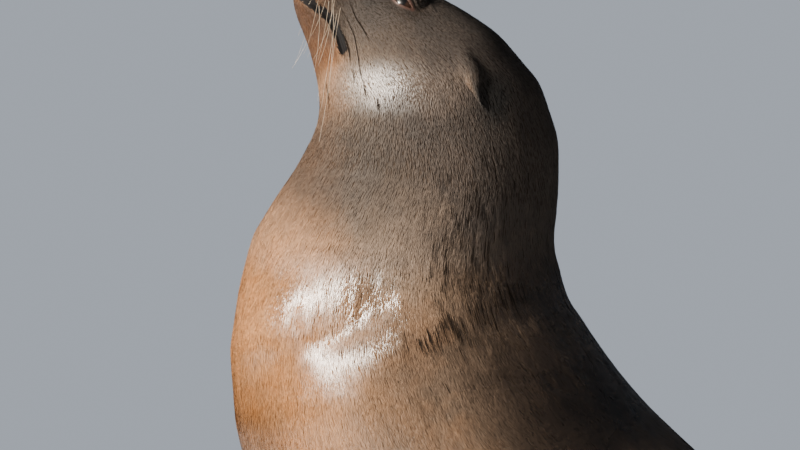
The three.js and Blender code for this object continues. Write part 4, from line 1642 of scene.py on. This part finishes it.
def addEye(name, sign, finish):
    centre, alongWay, _, outWay, radius = eyeFrame(sign)
    bpy.ops.object.select_all(action="DESELECT")
    bpy.ops.mesh.primitive_uv_sphere_add(
        segments=eyeballSet["segments"], ring_count=eyeballSet["rings"], radius=radius
    )
    eye = bpy.context.object
    eye.name = name
    points = placesOf(eye)
    reach = np.arccos(np.clip(points[:, 2] / radius, -1, 1)) / (np.pi / 2)
    turn = np.arctan2(points[:, 1], points[:, 0])
    bulge = eyeballSet["corneaHeight"] / radius * smoothStep(eyeballSet["corneaWidth"], 0.3, reach)
    points *= (1 + bulge)[:, None]
    keepOn(eye.data, "reach", reach)
    spokes = eyeballSet["spokes"]
    keepOn(eye.data, "spoke", np.stack([spokes * np.cos(turn), spokes * np.sin(turn), reach], axis=1))
    across = np.cross(outWay, alongWay)
    moveTo(eye, centre + points[:, :1] * alongWay + points[:, 1:2] * across + points[:, 2:] * outWay)
    eye.data.materials.append(finish)
    shadeSmooth(eye)
    return eye


eyeFinish = eyePaint()
eyes = [addEye("eyeball_left", 1, eyeFinish), addEye("eyeball_right", -1, eyeFinish)]
print("eyes")

# whiskers

whiskerSet = {
    "seed": 4,
    "rootRadius": 0.00020,
    "tipRadius": 0.00008,
    "kept": 0.42,  # share of the follicles whose whisker is long enough to show
    "steps": 14,
    "sides": 6,
    "shortest": 0.030,
    "longest": 0.150,
    "sunk": 0.002,
    "brow": ((0.020, 0.094, 0.030), (0.013, 0.092, 0.024)),  # forward, up, length
    "browSteps": 8,
    "browRadii": (0.0004, 0.00012),
    "colours": ((0.36, 0.28, 0.20), (0.62, 0.54, 0.44)),
}


def tubeAlong(work, path, radii, sides):
    # a closed tapering tube through the points
    way = normalised(np.gradient(path, axis=0))
    first = normalised(np.cross(way, np.array([[0.31, 0.52, 0.79]])))
    second = np.cross(way, first)
    turns = [2 * math.pi * step / sides for step in range(sides)]
    loops = []
    for place, one, two, radius in zip(path, first, second, radii):
        spokes = [(one * math.cos(turn) + two * math.sin(turn)) * radius for turn in turns]
        loops.append([work.verts.new(place + spoke) for spoke in spokes])
    wallBetween(work, loops)
    work.faces.new(loops[0][::-1])
    work.faces.new(loops[-1])


def whiskerPath(root, start, end, length, steps):
    path = [root]
    for step in range(steps):
        share = ((step + 0.5) / steps) ** 0.8
        way = start * (1 - share) + end * share
        path.append(path[-1] + way / np.linalg.norm(way) * length / steps)
    return np.array(path)


def whiskerPaint():
    paint, tree, shader = newPaint("whisker")
    share = speckled(tree, objectPlace(tree), 90.0, 2.0)
    setOn(shader, {
        "Base Color": mixed(tree, share, *whiskerSet["colours"]),
        "Roughness": ranged(tree, share, 0.0, 1.0, 0.28, 0.42), "Sheen Weight": 0.2,
    })
    return paint


def addWhiskers(name, sign, finish):
    random = np.random.default_rng(whiskerSet["seed"] + sign)
    offSide = 1e3 * ((fields["place"][:, 0] * sign <= 0) | (fields["onEar"] > 0.5))
    work = bmesh.new()
    down = np.array([0.0, 0.0, -1.0])
    out = np.array([float(sign), 0.0, 0.0])
    ahead = np.array([0.0, -1.0, 0.0])

    def follicle(forward, up):
        near = int(np.argmin(np.hypot(fields["forward"] - forward, fields["up"] - up) + offSide))
        normal = fields["normal"][near]
        return fields["place"][near] - normal * whiskerSet["sunk"], normal

    for forward, up, row, column in whiskerRoots():
        reach = (column + 0.5 * row) / (padSet["columns"] + 0.5 * padSet["rows"])
        if random.random() > whiskerSet["kept"] * (1 - 0.45 * reach):
            continue
        root, normal = follicle(forward, up)
        length = whiskerSet["shortest"] + (whiskerSet["longest"] - whiskerSet["shortest"]) * reach
        length *= float(np.exp(0.16 * random.normal()))
        start = normal * 0.62 - headForward * 0.30 + down * 0.55 + ahead * 0.22 + 0.08 * random.normal(size=3)
        bowed = 0.62 * (1 - reach) + 0.12 * random.normal()
        end = down * 0.92 + ahead * bowed + out * (0.22 + 0.20 * random.normal())
        path = whiskerPath(root, start, end, length, whiskerSet["steps"])
        taper = np.linspace(0, 1, whiskerSet["steps"] + 1) ** 0.9
        radii = whiskerSet["rootRadius"] * (0.8 + 0.3 * reach) * (1 - taper) + whiskerSet["tipRadius"] * taper
        tubeAlong(work, path, radii, whiskerSet["sides"])
    for forward, up, length in whiskerSet["brow"]:
        root, normal = follicle(forward, up)
        start = normal * 0.8 + headUp * 0.4 - headForward * 0.3
        path = whiskerPath(root, start, start * 0.5 - headForward, length, whiskerSet["browSteps"])
        tubeAlong(work, path, np.linspace(*whiskerSet["browRadii"], len(path)), whiskerSet["sides"])
    piece = pieceFrom(name, work)
    piece.data.materials.append(finish)
    shadeSmooth(piece)
    return piece


whiskerFinish = whiskerPaint()
whiskers = [addWhiskers("whiskers_left", 1, whiskerFinish), addWhiskers("whiskers_right", -1, whiskerFinish)]
print("whiskers")

# claws

clawSet = {
    "rings": 12,
    "around": 16,
    "arch": 0.16,
    "flat": 0.82,
    "proud": 0.1,
    "share": 0.80,  # of the CAD nail's length
    "slender": 5.5,  # length over radius
    "colours": ((0.018, 0.013, 0.010), (0.085, 0.060, 0.042)),
    "grain": (9, 5),  # round and along the claw
}


def clawPaint():
    paint, tree, shader = newPaint("claw")
    bands = noiseAt(tree, reading(tree, "grow", "Vector"), 1.0, 3.0)
    setOn(shader, {
        "Base Color": mixed(tree, bands, *clawSet["colours"]),
        "Roughness": ranged(tree, bands, 0.3, 0.7, 0.24, 0.40), "Normal": bumped(tree, bands, 0.0003, 0.5),
    })
    return paint


def addClaw(node, finish):
    # a horn spindle, arched along the toe and pointed at both ends
    low, high = (np.array(corner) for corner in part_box(node))
    sign = 1 if low[0] > 0 else -1
    way = (np.array(hindSet[4]) - hindSet[3])[:3] * [sign, 1, 0]
    way /= np.linalg.norm(way)
    beside = np.array([-way[1], way[0], 0.0])
    above = np.array([0.0, 0.0, 1.0])
    length = (high[0] - low[0]) / abs(way[0]) * clawSet["share"]
    radius = length / clawSet["slender"]
    centre = (low + high) / 2
    leather = skin.ray_cast(Vector((centre[0], centre[1], 0.2)), Vector((0, 0, -1)))[1]
    centre[2] = leather[2] + clawSet["proud"] * radius
    work = bmesh.new()
    loops, places = [], []
    for ring in range(clawSet["rings"] + 1):
        share = ring / clawSet["rings"]
        swell = math.sin(math.pi * (0.04 + 0.92 * share) ** 1.25) ** 0.62
        rise = clawSet["arch"] * length * (4 * share * (1 - share) * 0.55 - 0.35 * share)
        middle = centre + way * (share - 0.5) * length + above * rise
        turns = [2 * math.pi * step / clawSet["around"] for step in range(clawSet["around"])]
        rim = [beside * (math.cos(turn) * clawSet["flat"]) + above * math.sin(turn) for turn in turns]
        loops.append([work.verts.new(middle + spoke * radius * swell) for spoke in rim])
        places += [(turn * clawSet["grain"][0], share * clawSet["grain"][1], 0.0) for turn in turns]
    wallBetween(work, loops)
    work.faces.new(loops[0])
    work.faces.new(loops[-1])
    bmesh.ops.recalc_face_normals(work, faces=work.faces)
    piece = pieceFrom(node.replace("hind_nail", "claw"), work)
    keepOn(piece.data, "grow", np.array(places))
    piece.data.materials.append(finish)
    shadeSmooth(piece)
    return piece


clawFinish = clawPaint()
clawNodes = [f"hind_nail_{toe}_{side}" for toe in (2, 3, 4) for side in ("left", "right")]
claws = {node: addClaw(node, clawFinish) for node in clawNodes}
print("claws")

# what rides and what it stands for

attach(skin, "root")
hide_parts(*skinSet["flesh"], "ear_left", "ear_right")
for coat in coats:
    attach(coat, "root")
for eye, node in zip(eyes, ("eye_left", "eye_right")):
    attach(eye, "root")
    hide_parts(node)
for whisker in whiskers:
    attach(whisker, "root")
for node, claw in claws.items():
    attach(claw, "root")
    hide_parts(node)
